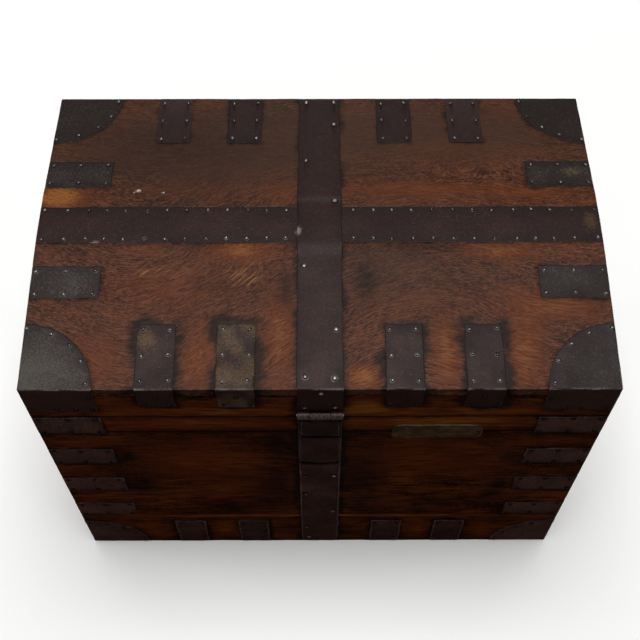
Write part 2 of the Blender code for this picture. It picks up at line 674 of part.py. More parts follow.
def body_iron(boards, keyhole):
    """Centre strap down the front, under the base and up the back; corner straps and bottom clips."""
    path = [(-IRON_Y, BODY_IRON_TOP), (-IRON_Y, IRON), (IRON_Y, IRON), (IRON_Y, BODY_IRON_TOP)]
    strap = let_in("body_strap", path, -1, "YZ", -STRAP / 2, STRAP / 2, boards, bed=(CUT, CUT))
    cut(strap, *keyhole)
    finish(strap, body, iron_strap)

    path = [(WIDTH / 2 - BRACKET_LEG, -IRON_Y), (IRON_X, -IRON_Y), (IRON_X, BRACKET_LEG - DEPTH / 2)]
    clip = [(-IRON_Y, CLIP_LEG), (-IRON_Y, IRON), (CLIP_FOOT - DEPTH / 2, IRON)]
    for word, sx in SIDES:
        route = path if sx > 0 else mirrored(path)
        for k in range(CORNER_STRAPS):
            high = BODY_IRON_TOP - k * CORNER_STRAP_PITCH
            past = GAP if k else CUT
            name = f"corner_strap_{word}_{k + 1}"
            wrap = let_in(name, route, -sx, "XY", high - BRACKET, high, boards, past=past)
            finish(wrap, body, iron_corner)
        for row, centre in (("outer", sx * BRACKET_OUTER), ("inner", sx * BRACKET_INNER)):
            low, high = centre - BRACKET / 2, centre + BRACKET / 2
            piece = let_in(f"base_clip_{row}_{word}", clip, -1, "YZ", low, high, boards)
            finish(piece, body, iron_strap)


def lock_plate(keyhole):
    """Shield over the front strap, with a bowed lower edge and the keyhole through it."""
    half = LOCK_PLATE_WIDTH / 2
    top = JOINT_HEIGHT - LOCK_PLATE_SETBACK
    foot = top - LOCK_PLATE_LENGTH
    radius = (half**2 + LOCK_PLATE_SAG**2) / (2 * LOCK_PLATE_SAG)
    spread = math.degrees(math.asin(half / radius))
    bow = arc((0, foot + radius), radius, 270 - spread, 270 + spread)
    near = -(DEPTH / 2 + GAP)
    shield = plate("lock_plate", bow + [(half, top), (-half, top)], "XZ", near - LOCK_PLATE_IRON, near)
    cut(shield, *keyhole)
    finish(shield, body, iron_strap)


def lock_case():
    """Case on the front board and open towards it, with a slot in its top for each tab of the link plate."""
    case = box("lock_case", (-LOCK_REACH, LOCK_FRONT, LOCK_FOOT), (LOCK_REACH, LOCK_BACK, LOCK_TOP))
    inner = LOCK_REACH - LOCK_WALL
    low = (-inner, LOCK_FRONT - CUT, LOCK_FOOT + LOCK_WALL)
    pocket = box("lock_pocket", low, (inner, LOCK_BACK - LOCK_WALL, LOCK_TOP - LOCK_WALL))
    cut(case, helper(pocket))
    half = TAB / 2 + TAB_SIDE_GAP
    for word, x in TABS:
        low = (x - half, LOCK_FRONT - CUT, EYE_TOP)
        slot = box(f"lock_slot_{word}", low, (x + half, TAB_BACK + TAB_SIDE_GAP, LOCK_TOP + CUT))
        cut(case, helper(slot))
    finish(case, body, iron_lock)


def link_plate():
    """Plate on the lid's front rail, with two tabs that drop into the lock, each with an eye for the bolt."""
    foot, top = LID_BASE + GAP, LID_BASE + LINK_HEIGHT
    link = box("link_plate", (-LINK_REACH, LOCK_FRONT, foot), (LINK_REACH, LOCK_FRONT + IRON, top))
    for word, x in TABS:
        low = (x - TAB / 2, LOCK_FRONT + IRON / 2, TAB_FOOT)
        tab = box(f"link_tab_{word}", low, (x + TAB / 2, TAB_BACK, top - GAP))
        join(link, helper(tab))
        eye = box(f"link_eye_{word}", (x - TAB, EYE_FRONT, EYE_FOOT), (x + TAB, EYE_BACK, EYE_TOP))
        cut(link, helper(eye))
    finish(link, lid, iron_lock)


def lock_bolt():
    """Bar on the lock's floor with two posts, each with a finger that slides through the eye of its tab."""
    finger_foot, finger_top = EYE_FOOT + EYE_ROOM, EYE_TOP - EYE_ROOM
    left, right = [x - POST_REACH for _, x in TABS]
    tail, end = left - BOLT_POST - BOLT_TAIL, right + BOLT_TAIL
    profile = [(tail, BAR_TOP), (tail, BAR_FOOT), (end, BAR_FOOT), (end, BAR_TOP)]
    for post in (right, left):
        tip, back = post + BOLT_THROW, post - BOLT_POST
        profile += [(post, BAR_TOP), (post, finger_foot), (tip, finger_foot), (tip, finger_top)]
        profile += [(back, finger_top), (back, BAR_TOP)]
    bolt = plate("lock_bolt", profile, "XZ", BOLT_FRONT, BOLT_FRONT + BOLT)
    finish(bolt, bolt_slide, iron_lock)


def rounded_path(corners, radii):
    """A path through its corners, each turned in a curve that starts and ends a radius away from it."""
    points = [Vector(corners[0])]
    for before, corner, after, radius in zip(corners, corners[1:], corners[2:], radii):
        corner = Vector(corner)
        into = (Vector(before) - corner).normalized()
        away = (Vector(after) - corner).normalized()
        middle = corner + (into + away) * radius
        for k in range(BAIL_BEND_STEPS + 1):
            turn = math.pi / 2 * k / BAIL_BEND_STEPS
            points.append(middle - away * radius * math.cos(turn) - into * radius * math.sin(turn))
    return points + [Vector(corners[-1])]


def handles(boards):
    """Plate with two lugs on each end, and a bail that hangs in them by its turned-in ends."""
    for word, sx in SIDES:
        face = sx * WIDTH / 2
        x = sx * HANDLE_X
        reach = LUG_SPACING / 2 + HANDLE_MARGIN
        path = [(sx * IRON_X, HANDLE_HEIGHT - BRACKET / 2), (sx * IRON_X, HANDLE_HEIGHT + BRACKET / 2)]
        back = let_in(f"handle_plate_{word}", path, -sx, "XZ", -reach, reach, boards)
        root = face - sx * IRON / 2
        sweep = (-90, 90) if sx > 0 else (270, 90)
        lug = [(root, HANDLE_HEIGHT - LUG_RADIUS)] + arc((x, HANDLE_HEIGHT), LUG_RADIUS, *sweep)
        lug += [(root, HANDLE_HEIGHT + LUG_RADIUS)]
        for k in (-1, 1):
            y = k * LUG_SPACING / 2
            join(back, helper(plate(f"lug_{word}_{k}", lug, "XZ", y - LUG / 2, y + LUG / 2)))
        centre = (x, 0, HANDLE_HEIGHT)
        eye = cylinder(f"lug_bore_{word}", BAIL_ROD + BAIL_CLEARANCE, "Y", centre, LUG_SPACING + LUG + CUT)
        cut(back, helper(eye))
        finish(back, body, iron_strap)

        turn = pivot(f"handle_{word}_pivot", centre, body)
        arm = LUG_SPACING / 2 + BAIL_SHOULDER
        tip = LUG_SPACING / 2 - LUG / 2 - BAIL_TUCK
        corners = [(0, -tip, 0), (0, -arm, 0), (0, -arm, -BAIL_DROP)]
        corners += [(0, arm, -BAIL_DROP), (0, arm, 0), (0, tip, 0)]
        bends = [BAIL_END_BEND, BAIL_GRIP_BEND, BAIL_GRIP_BEND, BAIL_END_BEND]
        data = bpy.data.curves.new(f"bail_{word}", "CURVE")
        data.dimensions = "3D"
        data.bevel_depth = BAIL_ROD
        data.bevel_resolution = BAIL_RESOLUTION
        data.use_fill_caps = True
        route = rounded_path(corners, bends)
        spline = data.splines.new("POLY")
        spline.points.add(len(route) - 1)
        for spot, place in zip(spline.points, route):
            spot.co = (*place, 1)
        bail = bpy.data.objects.new(f"bail_{word}", data)
        bail.location = centre
        finish(mesh_from(bail), turn, iron_strap)


keyhole_cut = keyhole_cutters()
hasp_cut = hasp_bore()
lid_wood = lid_boards()
body_wood = body_boards(keyhole_cut)
lid_corners(lid_wood)
lid_brackets(lid_wood)
lid_straps(lid_wood, hasp_cut)
hinges(lid_wood, body_wood)
hasp(hasp_cut)
body_iron(body_wood, keyhole_cut)
boots(body_wood)
lock_plate(keyhole_cut)
lock_case()
link_plate()
lock_bolt()
handles(body_wood)
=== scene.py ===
"""Looks of the iron-bound oak chest: worn oak boards, forged irons let into them, nails, light and camera."""

import math

import bmesh
import bpy
import numpy as np
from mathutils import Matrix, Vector


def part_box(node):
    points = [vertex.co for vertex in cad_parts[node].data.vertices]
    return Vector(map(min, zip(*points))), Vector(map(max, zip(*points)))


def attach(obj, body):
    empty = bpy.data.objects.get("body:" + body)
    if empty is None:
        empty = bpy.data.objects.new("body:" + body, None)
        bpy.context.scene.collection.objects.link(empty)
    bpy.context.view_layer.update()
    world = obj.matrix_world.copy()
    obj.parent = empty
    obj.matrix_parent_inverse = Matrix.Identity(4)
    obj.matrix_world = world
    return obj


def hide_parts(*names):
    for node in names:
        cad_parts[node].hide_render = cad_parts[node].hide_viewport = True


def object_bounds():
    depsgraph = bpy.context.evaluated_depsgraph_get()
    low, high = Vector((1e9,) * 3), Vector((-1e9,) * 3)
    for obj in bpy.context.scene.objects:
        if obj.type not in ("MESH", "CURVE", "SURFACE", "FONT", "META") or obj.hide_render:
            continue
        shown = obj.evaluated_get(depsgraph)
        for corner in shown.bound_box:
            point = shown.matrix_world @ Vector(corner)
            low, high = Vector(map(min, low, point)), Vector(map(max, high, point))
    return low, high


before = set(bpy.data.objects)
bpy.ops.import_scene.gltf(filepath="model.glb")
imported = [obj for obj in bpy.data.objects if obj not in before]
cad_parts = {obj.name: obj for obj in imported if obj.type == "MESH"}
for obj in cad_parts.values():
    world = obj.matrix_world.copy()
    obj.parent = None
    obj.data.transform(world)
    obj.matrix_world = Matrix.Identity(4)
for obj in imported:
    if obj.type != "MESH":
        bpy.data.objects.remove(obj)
cad_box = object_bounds()

# Sizes in metres, as in the part's source
WIDTH = 0.760
DEPTH = 0.4865
EDGE_HEIGHT = 0.5457
JOINT_HEIGHT = 0.470
CROWN = 0.018
RIDGE = 0.060
BOARD = 0.022
LID_BOARD = 0.016
FLOOR_BOARD = 0.018
RAIL_LINE = 0.4258
IRON = 0.0025
PROUD = 0.0005
GAP = 0.0003
SEAM = 0.00015
STRAP = 0.060
STRAP_RAMP = 0.022
BRACKET = 0.049
LEG = 0.092
BRACKET_FOOT = 0.4977
CORNER_RADIUS = 0.093
CORNER_FOOT = 0.4857
BOOT_RADIUS = 0.095
CLIP_LEG = 0.093
CLIP_FOOT = 0.050
BRACKET_INNER = 0.1075
BRACKET_OUTER = 0.2095
END_BRACKET = 0.0901
HASP_Y = -0.24675
HASP_Z = 0.481
BARREL = 0.0055
HASP_PIN = 0.0028
HASP_MOUTH = 0.0139
STRAP_END = 0.4871
BODY_IRON_TOP = 0.4685
STRAP_PITCH = 0.0993
HANDLE_HEIGHT = 0.300
PLATE_SAG = 0.006
PLATE_CORNER = 0.001
FLAP_HALF = 0.026
FLAP_CORNER = 0.006
FLAP_KNUCKLE = 0.0135
FLAP_IRON = 0.003
SWING_GAP = 0.0006
KEY_RADIUS = 0.004
KEY_CENTRE = 0.450
KEY_FOOT = 0.4395
KEY_SLOT = 0.00225
KEY_DEPTH = (-0.300, -0.2150)

# Grid lines, edges, beds of the irons, wear, and painted shadows and highlights, in metres
STEP = 0.0045
RIM_STEP = 0.0008
RIM_ROOM = 0.0024
EDGE_SOFT = 0.0008
BOARD_SOFT = 0.0016
LID_SOFT = 0.0007
DENT = 0.00025
EDGE_WAVE = 0.0005
BED = 0.0024
BED_INSET = 0.0015
BED_RAMP = 0.0025
SEAM_DIRT = 0.0026
WOBBLE_REACH = 0.012
RIM_BARE = 0.0007
# Reach of the dark line at the rim of an iron, a painted shadow
RIM_SHADOW = 0.0016
# How far from the rim the pale line of painted highlight lies, and its half width
RIM_HIGHLIGHT_AT = 0.0016
RIM_HIGHLIGHT_HALF = 0.0008
FOLD_BARE = 0.0020
# Painted shadows under the feet of the flap and the lock plate: how they fade, how far above the edge they
# begin, and how far down they stay dark
SHADOW_FADE = 0.003
SHADOW_ABOVE = 0.002
STRAP_SHADOW = 0.014
PLATE_SHADOW = 0.012
FOLD_LINES = IRON * np.array([0.25, 0.6, 1.0])

# Share of bare metal on the front of the hasp's knuckles, which also paints the highlight of the ledge they
# form, and how raw the wood inside is
KNUCKLE_BARE_AND_HIGHLIGHT = 0.26
RAW = 0.8
FLOOR_RAW = 0.7

WOOD_X = WIDTH / 2 - PROUD
WOOD_Y = DEPTH / 2 - PROUD
WOOD_EDGE = EDGE_HEIGHT - PROUD
WOOD_HIGH = (WOOD_X, WOOD_Y, WOOD_EDGE)
IN_X = WOOD_X - BOARD
IN_Y = WOOD_Y - BOARD
LID_UNDER = WOOD_EDGE - LID_BOARD
RAIL_TOP = LID_UNDER - GAP
LID_BASE = JOINT_HEIGHT + SEAM
BODY_TOP = JOINT_HEIGHT - SEAM
CHEST_LOW = np.array([-WIDTH / 2, -DEPTH / 2, 0.0])
CHEST_HIGH = np.array([WIDTH / 2, DEPTH / 2, EDGE_HEIGHT])
PLANES = {"YZ": (1, 2, 0), "XZ": (0, 2, 1), "XY": (0, 1, 2)}
SIDES = (("left", -1), ("right", 1))
ENDS = (("front", -1), ("back", 1))
# Faces of the chest: the axis that each looks along, which way, and the two axes across it
FACES = {
    "top": (2, 1, 0, 1),
    "front": (1, -1, 0, 2),
    "back": (1, 1, 0, 2),
    "left": (0, -1, 1, 2),
    "right": (0, 1, 1, 2),
}


def crown(y):
    """Rise of the lid at depth y: straight slopes, joined over the ridge by a parabola."""
    out = np.abs(y)
    slope = CROWN / (DEPTH / 2 - RIDGE / 2)
    return np.where(out < RIDGE, CROWN - slope * out**2 / (2 * RIDGE), CROWN - slope * (out - RIDGE / 2))


def on_lid(points):
    """Rise of a piece that lies on the lid."""
    return crown(points[:, 1])


def lid_share(points):
    """Share of the crown that a board under the lid's top takes: none at its foot, all at its top."""
    return crown(points[:, 1]) * (points[:, 2] - LID_BASE) / (RAIL_TOP - LID_BASE)


def cross_step(y):
    """Step of the centre strap over the cross strap: its height, with an S-shaped ramp on each side."""
    ramp = np.clip(1 - (np.abs(y) - STRAP / 2 - GAP) / STRAP_RAMP, 0, 1)
    return (IRON + GAP) * ramp**2 * (3 - 2 * ramp)


def over_cross(points):
    """Rise of the centre strap: the crown, and a step where it rides over the cross strap."""
    return crown(points[:, 1]) + cross_step(points[:, 1])


def waves(u, v, size, seed):
    """Smooth unevenness of about one unit: nine plane waves in random directions, each near the size given."""
    rng = np.random.default_rng(seed)
    total = np.zeros(np.broadcast(u, v).shape)
    turns, stretches = rng.uniform(0, np.pi, 9), rng.uniform(0.6, 1.7, 9)
    phases = rng.uniform(0, 2 * np.pi, 9)
    for turn, stretch, phase in zip(turns, stretches, phases):
        total += np.sin(2 * np.pi * (u * np.cos(turn) + v * np.sin(turn)) / (size * stretch) + phase)
    return total / 3


def weld(points, quads, values):
    """Points less than a micrometre apart become one, quads two triangles each, and empty triangles go."""
    places = np.round(points * 1e6 + 0.137)
    _, first, joined = np.unique(places, axis=0, return_index=True, return_inverse=True)
    tris = joined.reshape(-1)[np.vstack([quads[:, [0, 1, 2]], quads[:, [0, 2, 3]]])]
    whole = (tris[:, 0] != tris[:, 1]) & (tris[:, 1] != tris[:, 2]) & (tris[:, 2] != tris[:, 0])
    return points[first], tris[whole], values[first]


def grid_quads(rows, cols, start):
    """Quads between the points of a grid whose numbers begin at start."""
    number = start + np.arange(rows * cols).reshape(rows, cols)
    return np.stack([number[:-1, :-1], number[1:, :-1], number[1:, 1:], number[:-1, 1:]], -1).reshape(-1, 4)


def lines(low, high, soft, extra=()):
    """Grid lines from low to high: about a step apart, closer within soft of both ends, and the extra ones."""
    near = np.concatenate([soft * np.array([0.0, 0.12, 0.4, 1.0]), [soft + RIM_STEP]])
    start, stop = low + soft + RIM_ROOM, high - soft - RIM_ROOM
    between = np.linspace(start, stop, max(2, round((stop - start) / STEP) + 1))
    placed = np.concatenate([low + near, between, high - near[::-1]])
    return np.unique(np.concatenate([placed, extra]).round(7)) if len(extra) else placed


def round_over(points, low, high, soft):
    """Points on a sharp box moved to its rounded form: each lies soft from the box that is smaller by soft."""
    core = np.clip(points, low + soft, high - soft)
    reach = points - core
    return core + soft * reach / np.linalg.norm(reach, axis=-1, keepdims=True)


def paint(mesh, name, values):
    """Writes four values for each point into a colour attribute."""
    made = mesh.attributes.new(name, "FLOAT_COLOR", "POINT")
    made.data.foreach_set("color", values.astype(np.float32).ravel())


def piece(name, points, tris, values, body, material, stands_for=(), sharp=35, marks=None):
    """Puts arrays into a mesh with its patina, smooth but for edges over the sharp angle, and rides a body."""
    mesh = bpy.data.meshes.new(name)
    mesh.from_pydata(points.tolist(), [], tris.tolist())
    bm = bmesh.new()
    bm.from_mesh(mesh)
    bmesh.ops.recalc_face_normals(bm, faces=bm.faces[:])
    bm.to_mesh(mesh)
    bm.free()
    paint(mesh, "patina_and_painted_light", values)
    if marks is not None:
        paint(mesh, "marks", marks)
    return settle(name, mesh, body, material, stands_for, sharp)


def settle(name, mesh, body, material, stands_for, sharp):
    """Links a finished mesh as an object of the part."""
    mesh.polygons.foreach_set("use_smooth", np.ones(len(mesh.polygons), bool))
    mesh.set_sharp_from_angle(angle=math.radians(sharp))
    mesh.materials.append(material)
    obj = bpy.data.objects.new(name, mesh)
    bpy.context.scene.collection.objects.link(obj)
    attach(obj, body)
    if stands_for:
        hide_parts(*stands_for)
    return obj


def linear(code):
    """An sRGB hex colour as linear red, green and blue with full alpha."""
    part = np.array([int(code[k:k + 2], 16) for k in (1, 3, 5)]) / 255
    light = np.where(part <= 0.04045, part / 12.92, ((part + 0.055) / 1.055) ** 2.4)
    return (*light.tolist(), 1.0)


def add(tree, kind, links, ramp=(), **settings):
    """Adds one node and gives its outputs.

    Settings are the node's properties. Links are its inputs, by name or number, or listed in order: each is a
    value, or an output of another node.
    """
    made = tree.nodes.new("ShaderNode" + kind)
    for key, value in settings.items():
        setattr(made, key, value)
    for k, (place, colour) in enumerate(ramp):
        stop = made.color_ramp.elements[k] if k < 2 else made.color_ramp.elements.new(1.0)
        stop.position, stop.color = place, linear(colour)
    for key, value in links.items() if isinstance(links, dict) else enumerate(links):
        if isinstance(value, bpy.types.NodeSocket):
            tree.links.new(value, made.inputs[key])
        else:
            made.inputs[key].default_value = value
    return made.outputs


def new_material(name, constants):
    """A material with constants on its shader: it, its node tree, its shader and the coordinates' outputs."""
    made = bpy.data.materials.new(name)
    made.use_nodes = True
    tree = made.node_tree
    shader = tree.nodes["Principled BSDF"]
    for key, value in constants.items():
        shader.inputs[key].default_value = value
    return made, tree, shader, add(tree, "TexCoord", {})


def layered(tree, colour, layers):
    """A colour with layers over it.

    Each layer is what it comes from, the values that mean none and all of it, its most, and its colour.
    """
    for amount, none, most, share, code in layers:
        cover = add(tree, "MapRange", (amount, none, most, 0.0, share))[0]
        colour = add(tree, "Mix", {0: cover, 6: colour, 7: linear(code)}, data_type="RGBA")[2]
    return colour


def surface(tree, shader, colour, rough, height, strength, distance):
    """Gives a shader its colour, its roughness and a bump from a pattern, at most distance metres high."""
    normal = add(tree, "Bump", {"Height": height, "Strength": strength, "Distance": distance})[0]
    for key, source in (("Base Color", colour), ("Roughness", rough), ("Normal", normal)):
        tree.links.new(source, shader.inputs[key])


# Marks of the oak: length along the grain and width in metres, turn across it and how many finer steps it
# has. The finest are drawn as wide as they need to be to show.
OAK_FIGURE = {
    "patch": (0.150, 0.050, 0.0, 3.0),
    "shade": (0.190, 0.065, 0.0, 2.0),
    "band": (0.120, 0.0060, 0.0, 3.0),
    "streak": (0.040, 0.0022, 0.0, 3.0),
    "ripple": (0.0066, 0.0014, 0.15, 1.0),
    "speck": (0.0042, 0.0015, 0.15, 2.0),
    "hair": (0.024, 0.0013, 0.04, 1.0),
    "blush": (0.034, 0.016, 0.0, 3.0),
    "cloud": (0.016, 0.009, 0.0, 4.0),
    "scratch": (0.030, 0.0013, 0.80, 1.0),
    "chip": (0.0040, 0.0030, 0.0, 2.0),
}
# How far the grain drifts, over what length and width, and how far apart the growth rings are, in metres
DRIFT, DRIFT_LENGTH, DRIFT_WIDTH = 0.045, 0.240, 0.090
RINGS = 0.007


def aged_oak(name, along, normal, tones, shift, wax, contrast, widen=1.0, edge=None):
    """Oak boards, planed by hand and oiled and waxed dark for a century.

    The eye sees red-brown wood that turns orange in patches, fine dark streaks, pale ripples and flecks lying
    a little across the grain, hair-thin pale lines, black iron stain with a ragged edge round the irons, and a
    low wax sheen. The patina attribute holds iron stain, warm worn spots, raw inside and grime. The marks
    attribute holds how far the grain is pushed aside, scratches, pale scuffs and dust; on the lid's back half
    the dust also paints the shade that falls there. The tones are dark, middle and warm wood, its ripples, and
    wood that is dull, a little worn and much worn. Marks are drawn as many times wider as widen says, because
    the camera sees the sides at a slant. The edge is a colour that the tones are multiplied by where a board
    laid flat shows its sides: painted shade on the faces that turn away from the light above.
    """
    dark, middle, warm, rippled, dull, orange, gold = tones
    made, tree, shader, coordinates = new_material(name, {"Specular IOR Level": wax})
    marks = add(tree, "Attribute", {}, attribute_name="marks")
    pushed, scratched, scuffed = add(tree, "SeparateColor", [marks["Color"]])
    patina_and_painted_light = add(tree, "Attribute", {}, attribute_name="patina_and_painted_light")
    stain, glow, raw = add(tree, "SeparateColor", [patina_and_painted_light["Color"]])
    moved = add(tree, "VectorMath", (coordinates["Object"], shift), operation="ADD")[0]
    size = [DRIFT_LENGTH if axis == along else DRIFT_WIDTH for axis in "XYZ"]
    far = add(tree, "Mapping", {"Vector": moved, "Scale": size}, vector_type="TEXTURE")[0]
    drift = add(tree, "TexNoise", {"Vector": far, "Scale": 1.0, "Detail": 2.0})["Color"]
    even = add(tree, "VectorMath", (drift, (0.5, 0.5, 0.5)), operation="SUBTRACT")[0]
    sway = add(tree, "VectorMath", {0: even, "Scale": DRIFT}, operation="SCALE")[0]
    wavy = add(tree, "VectorMath", (moved, sway), operation="ADD")[0]
    aside = add(tree, "CombineXYZ", (0.0, pushed, pushed))[0]
    bent = add(tree, "VectorMath", (wavy, aside), operation="ADD")[0]
    figure = {}
    for key, (length, width, turn, detail) in OAK_FIGURE.items():
        long = (along, normal) if turn else (along,)
        links = {
            "Vector": wavy if key == "scratch" else bent,
            "Rotation": [turn if axis == normal else 0.0 for axis in "XYZ"],
            "Scale": [length if axis in long else width * widen for axis in "XYZ"],
        }
        laid = add(tree, "Mapping", links, vector_type="TEXTURE")[0]
        figure[key] = add(tree, "TexNoise", {"Vector": laid, "Scale": 1.0, "Detail": detail})["Fac"]
    links = {"Vector": bent, "Scale": math.pi / (10 * RINGS), "Distortion": 2.5}
    links.update({"Detail": 2.0, "Detail Scale": 0.25})
    across = ({"X", "Y", "Z"} - {along, normal}).pop()
    ring = add(tree, "TexWave", links, bands_direction=across)["Fac"]
    tone = figure["patch"]
    for share, key in ((0.38, "band"), (0.42, "streak"), (0.15, "speck")):
        tone = add(tree, "Mix", {0: share, 2: tone, 3: figure[key]}, data_type="FLOAT")[0]
    ramp = ((0.50 - 0.09 / contrast, dark), (0.50, middle), (0.50 + 0.10 / contrast, warm))
    colour = add(tree, "ValToRGB", [tone], ramp=ramp)[0]
    ragged = add(tree, "Math", (figure["cloud"], 0.85, stain), operation="MULTIPLY_ADD")[0]
    pairs = (("streak", glow), ("cloud", patina_and_painted_light["Alpha"]), ("scratch", scratched), ("chip", scuffed))
    rubbed, smoky, scored, flaked = [
        add(tree, "Math", (figure[key], amount), operation="MULTIPLY")[0] for key, amount in pairs
    ]
    colour = layered(tree, colour, (
        (figure["shade"], 0.46, 0.64, 0.55, dull),
        (ring, 0.60, 1.0, 0.25, dark),
        (figure["blush"], 0.52, 0.68, 0.35, orange),
        (figure["ripple"], 0.52, 0.66, 0.55, rippled),
        (figure["speck"], 0.56, 0.68, 0.45, rippled),
        (figure["speck"], 0.42, 0.30, 0.15, dark),
        (rubbed, 0.0, 0.36, 0.80, orange),
        (figure["hair"], 0.58, 0.68, 0.50, rippled),
        # Dust, which on the lid's back half also paints the shade there
        (marks["Alpha"], 0.0, 1.0, 0.75, "#3A281F"),
        (raw, 0.0, 1.0, 0.80, "#6B4829"),
        (smoky, 0.0, 0.60, 0.95, "#170D0A"),
        (ragged, 0.72, 1.20, 0.88, "#170E0B"),
        (rubbed, 0.34, 0.80, 0.88, gold),
        (scored, 0.60, 0.68, 0.60, "#94683F"),
        (flaked, 0.42, 0.55, 0.85, "#C9B6A2"),
    ))
    # Painted shade: where a face turns away from the light above, the tones are multiplied by the edge colour
    if edge:
        upright = add(tree, "SeparateXYZ", [coordinates["Normal"]])[2]
        side = add(tree, "MapRange", (upright, 0.8, 0.3, 0.0, 1.0))[0]
        links = {0: side, 6: colour, 7: linear(edge)}
        colour = add(tree, "Mix", links, data_type="RGBA", blend_type="MULTIPLY")[2]
    sheen = add(tree, "MapRange", (figure["streak"], 0.3, 0.7, 0.62, 0.46))[0]
    matt = add(tree, "Mix", {0: raw, 2: sheen, 3: 0.75}, data_type="FLOAT")[0]
    relief = add(tree, "Mix", {0: 0.5, 2: figure["streak"], 3: figure["speck"]}, data_type="FLOAT")[0]
    surface(tree, shader, colour, matt, relief, 0.35, 0.0008)
    return made


# Patterns of the iron in metres: smudges, grit, rust flakes and hammer marks
SMUDGE, GRIT, FLAKE, HAMMER = 0.060, 0.0026, 0.0028, 0.013


def wrought_iron(name, tones, metal=0.15, gloss=0.2, rough=(0.62, 0.48), bare_and_highlight="#8A7B78"):
    """Wrought iron plate, hammered at the forge and blackened with wax.

    The eye sees dark grey with a fine grit and specks of rust, paler and greyer in the middle of a plate than
    near its rim, brown or golden rust in places and a broken line of bare metal along the folds. The patina
    attribute holds bare metal and painted highlights, rust, how much painted shade covers it, and how much it
    is rubbed. The tones are dark, middle and pale iron, rust and the tone of the painted shade. The last
    argument is the colour of bare metal and of painted highlights.
    """
    dark, middle, pale, rust, shade_tone = tones
    made, tree, shader, coordinates = new_material(name, {"Metallic": metal, "Specular IOR Level": gloss})
    place = coordinates["Object"]
    patina_and_painted_light = add(tree, "Attribute", {}, attribute_name="patina_and_painted_light")
    bare, rusted, shade_cover = add(tree, "SeparateColor", [patina_and_painted_light["Color"]])
    smudge, grit, blotch = [
        add(tree, "TexNoise", {"Vector": place, "Scale": 1 / size, "Detail": 3.0})["Fac"]
        for size in (SMUDGE, GRIT, FLAKE)
    ]
    mixed = add(tree, "Mix", {0: 0.55, 2: smudge, 3: grit}, data_type="FLOAT")[0]
    rubbed = add(tree, "Math", (patina_and_painted_light["Alpha"], 0.22, mixed), operation="MULTIPLY_ADD")[0]
    colour = add(tree, "ValToRGB", [rubbed], ramp=((0.38, dark), (0.60, middle), (0.82, pale)))[0]
    flaky = add(tree, "Math", (blotch, 0.6, rusted), operation="MULTIPLY_ADD")[0]
    bared = add(tree, "Math", (grit, 0.5, bare), operation="MULTIPLY_ADD")[0]
    colour = layered(tree, colour, (
        # Painted shade: a dark tone on the lid irons' sides, under standing edges, round nail heads and behind
        # knuckles
        (shade_cover, 0.0, 1.0, 0.85, shade_tone),
        (flaky, 0.58, 0.90, 0.60, rust),
        (grit, 0.58, 0.74, 0.14, rust),
        (bared, 0.40, 1.00, 0.9, bare_and_highlight),
    ))
    satin = add(tree, "MapRange", (smudge, 0.3, 0.7, *rough))[0]
    polished = add(tree, "Mix", {0: bare, 2: satin, 3: 0.30}, data_type="FLOAT")[0]
    links = {"Vector": place, "Scale": 1 / HAMMER, "Smoothness": 0.6}
    hammer = add(tree, "TexVoronoi", links, feature="SMOOTH_F1")["Distance"]
    beaten = add(tree, "Mix", {0: 0.4, 2: hammer, 3: grit}, data_type="FLOAT")[0]
    surface(tree, shader, colour, polished, beaten, 0.28, 0.0008)
    return made


def filed_iron(name, middle, pale):
    """Iron of the lock, filed smooth and dulled: fine lines of the file, 1.5 mm apart so that they show."""
    made, tree, shader, coordinates = new_material(name, {"Metallic": 0.7})
    links = {"Vector": coordinates["Object"], "Scale": (0.030, 0.0015, 0.0015)}
    files = add(tree, "Mapping", links, vector_type="TEXTURE")[0]
    mark = add(tree, "TexNoise", {"Vector": files, "Scale": 1.0, "Detail": 3.0})["Fac"]
    colour = add(tree, "ValToRGB", [mark], ramp=((0.35, middle), (0.65, pale)))[0]
    satin = add(tree, "MapRange", (mark, 0.0, 1.0, 0.30, 0.50))[0]
    surface(tree, shader, colour, satin, mark, 0.25, 0.0004)
    return made


def old_brass(name, dark, middle, pale):
    """Sheet brass gone dark olive: brown blotches of 12 mm and faint rubbing along its length."""
    made, tree, shader, coordinates = new_material(name, {"Metallic": 0.15, "Specular IOR Level": 0.2})
    links = {"Vector": coordinates["Object"], "Scale": 1 / 0.012, "Detail": 4.0, "Roughness": 0.65}
    blotch = add(tree, "TexNoise", links)["Fac"]
    colour = add(tree, "ValToRGB", [blotch], ramp=((0.32, dark), (0.52, middle), (0.75, pale)))[0]
    links = {"Vector": coordinates["Object"], "Scale": (0.025, 0.0012, 0.0012)}
    laid = add(tree, "Mapping", links, vector_type="TEXTURE")[0]
    rub = add(tree, "TexNoise", {"Vector": laid, "Scale": 1.0, "Detail": 2.0})["Fac"]
    satin = add(tree, "MapRange", (rub, 0.0, 1.0, 0.30, 0.55))[0]
    surface(tree, shader, colour, satin, rub, 0.2, 0.0003)
    return made


def studio_floor(name):
    """Matt white paint: even, with no pattern of its own."""
    constants = {"Base Color": linear("#F8F8F7"), "Roughness": 0.9, "Specular IOR Level": 0.0}
    return new_material(name, constants)[0]


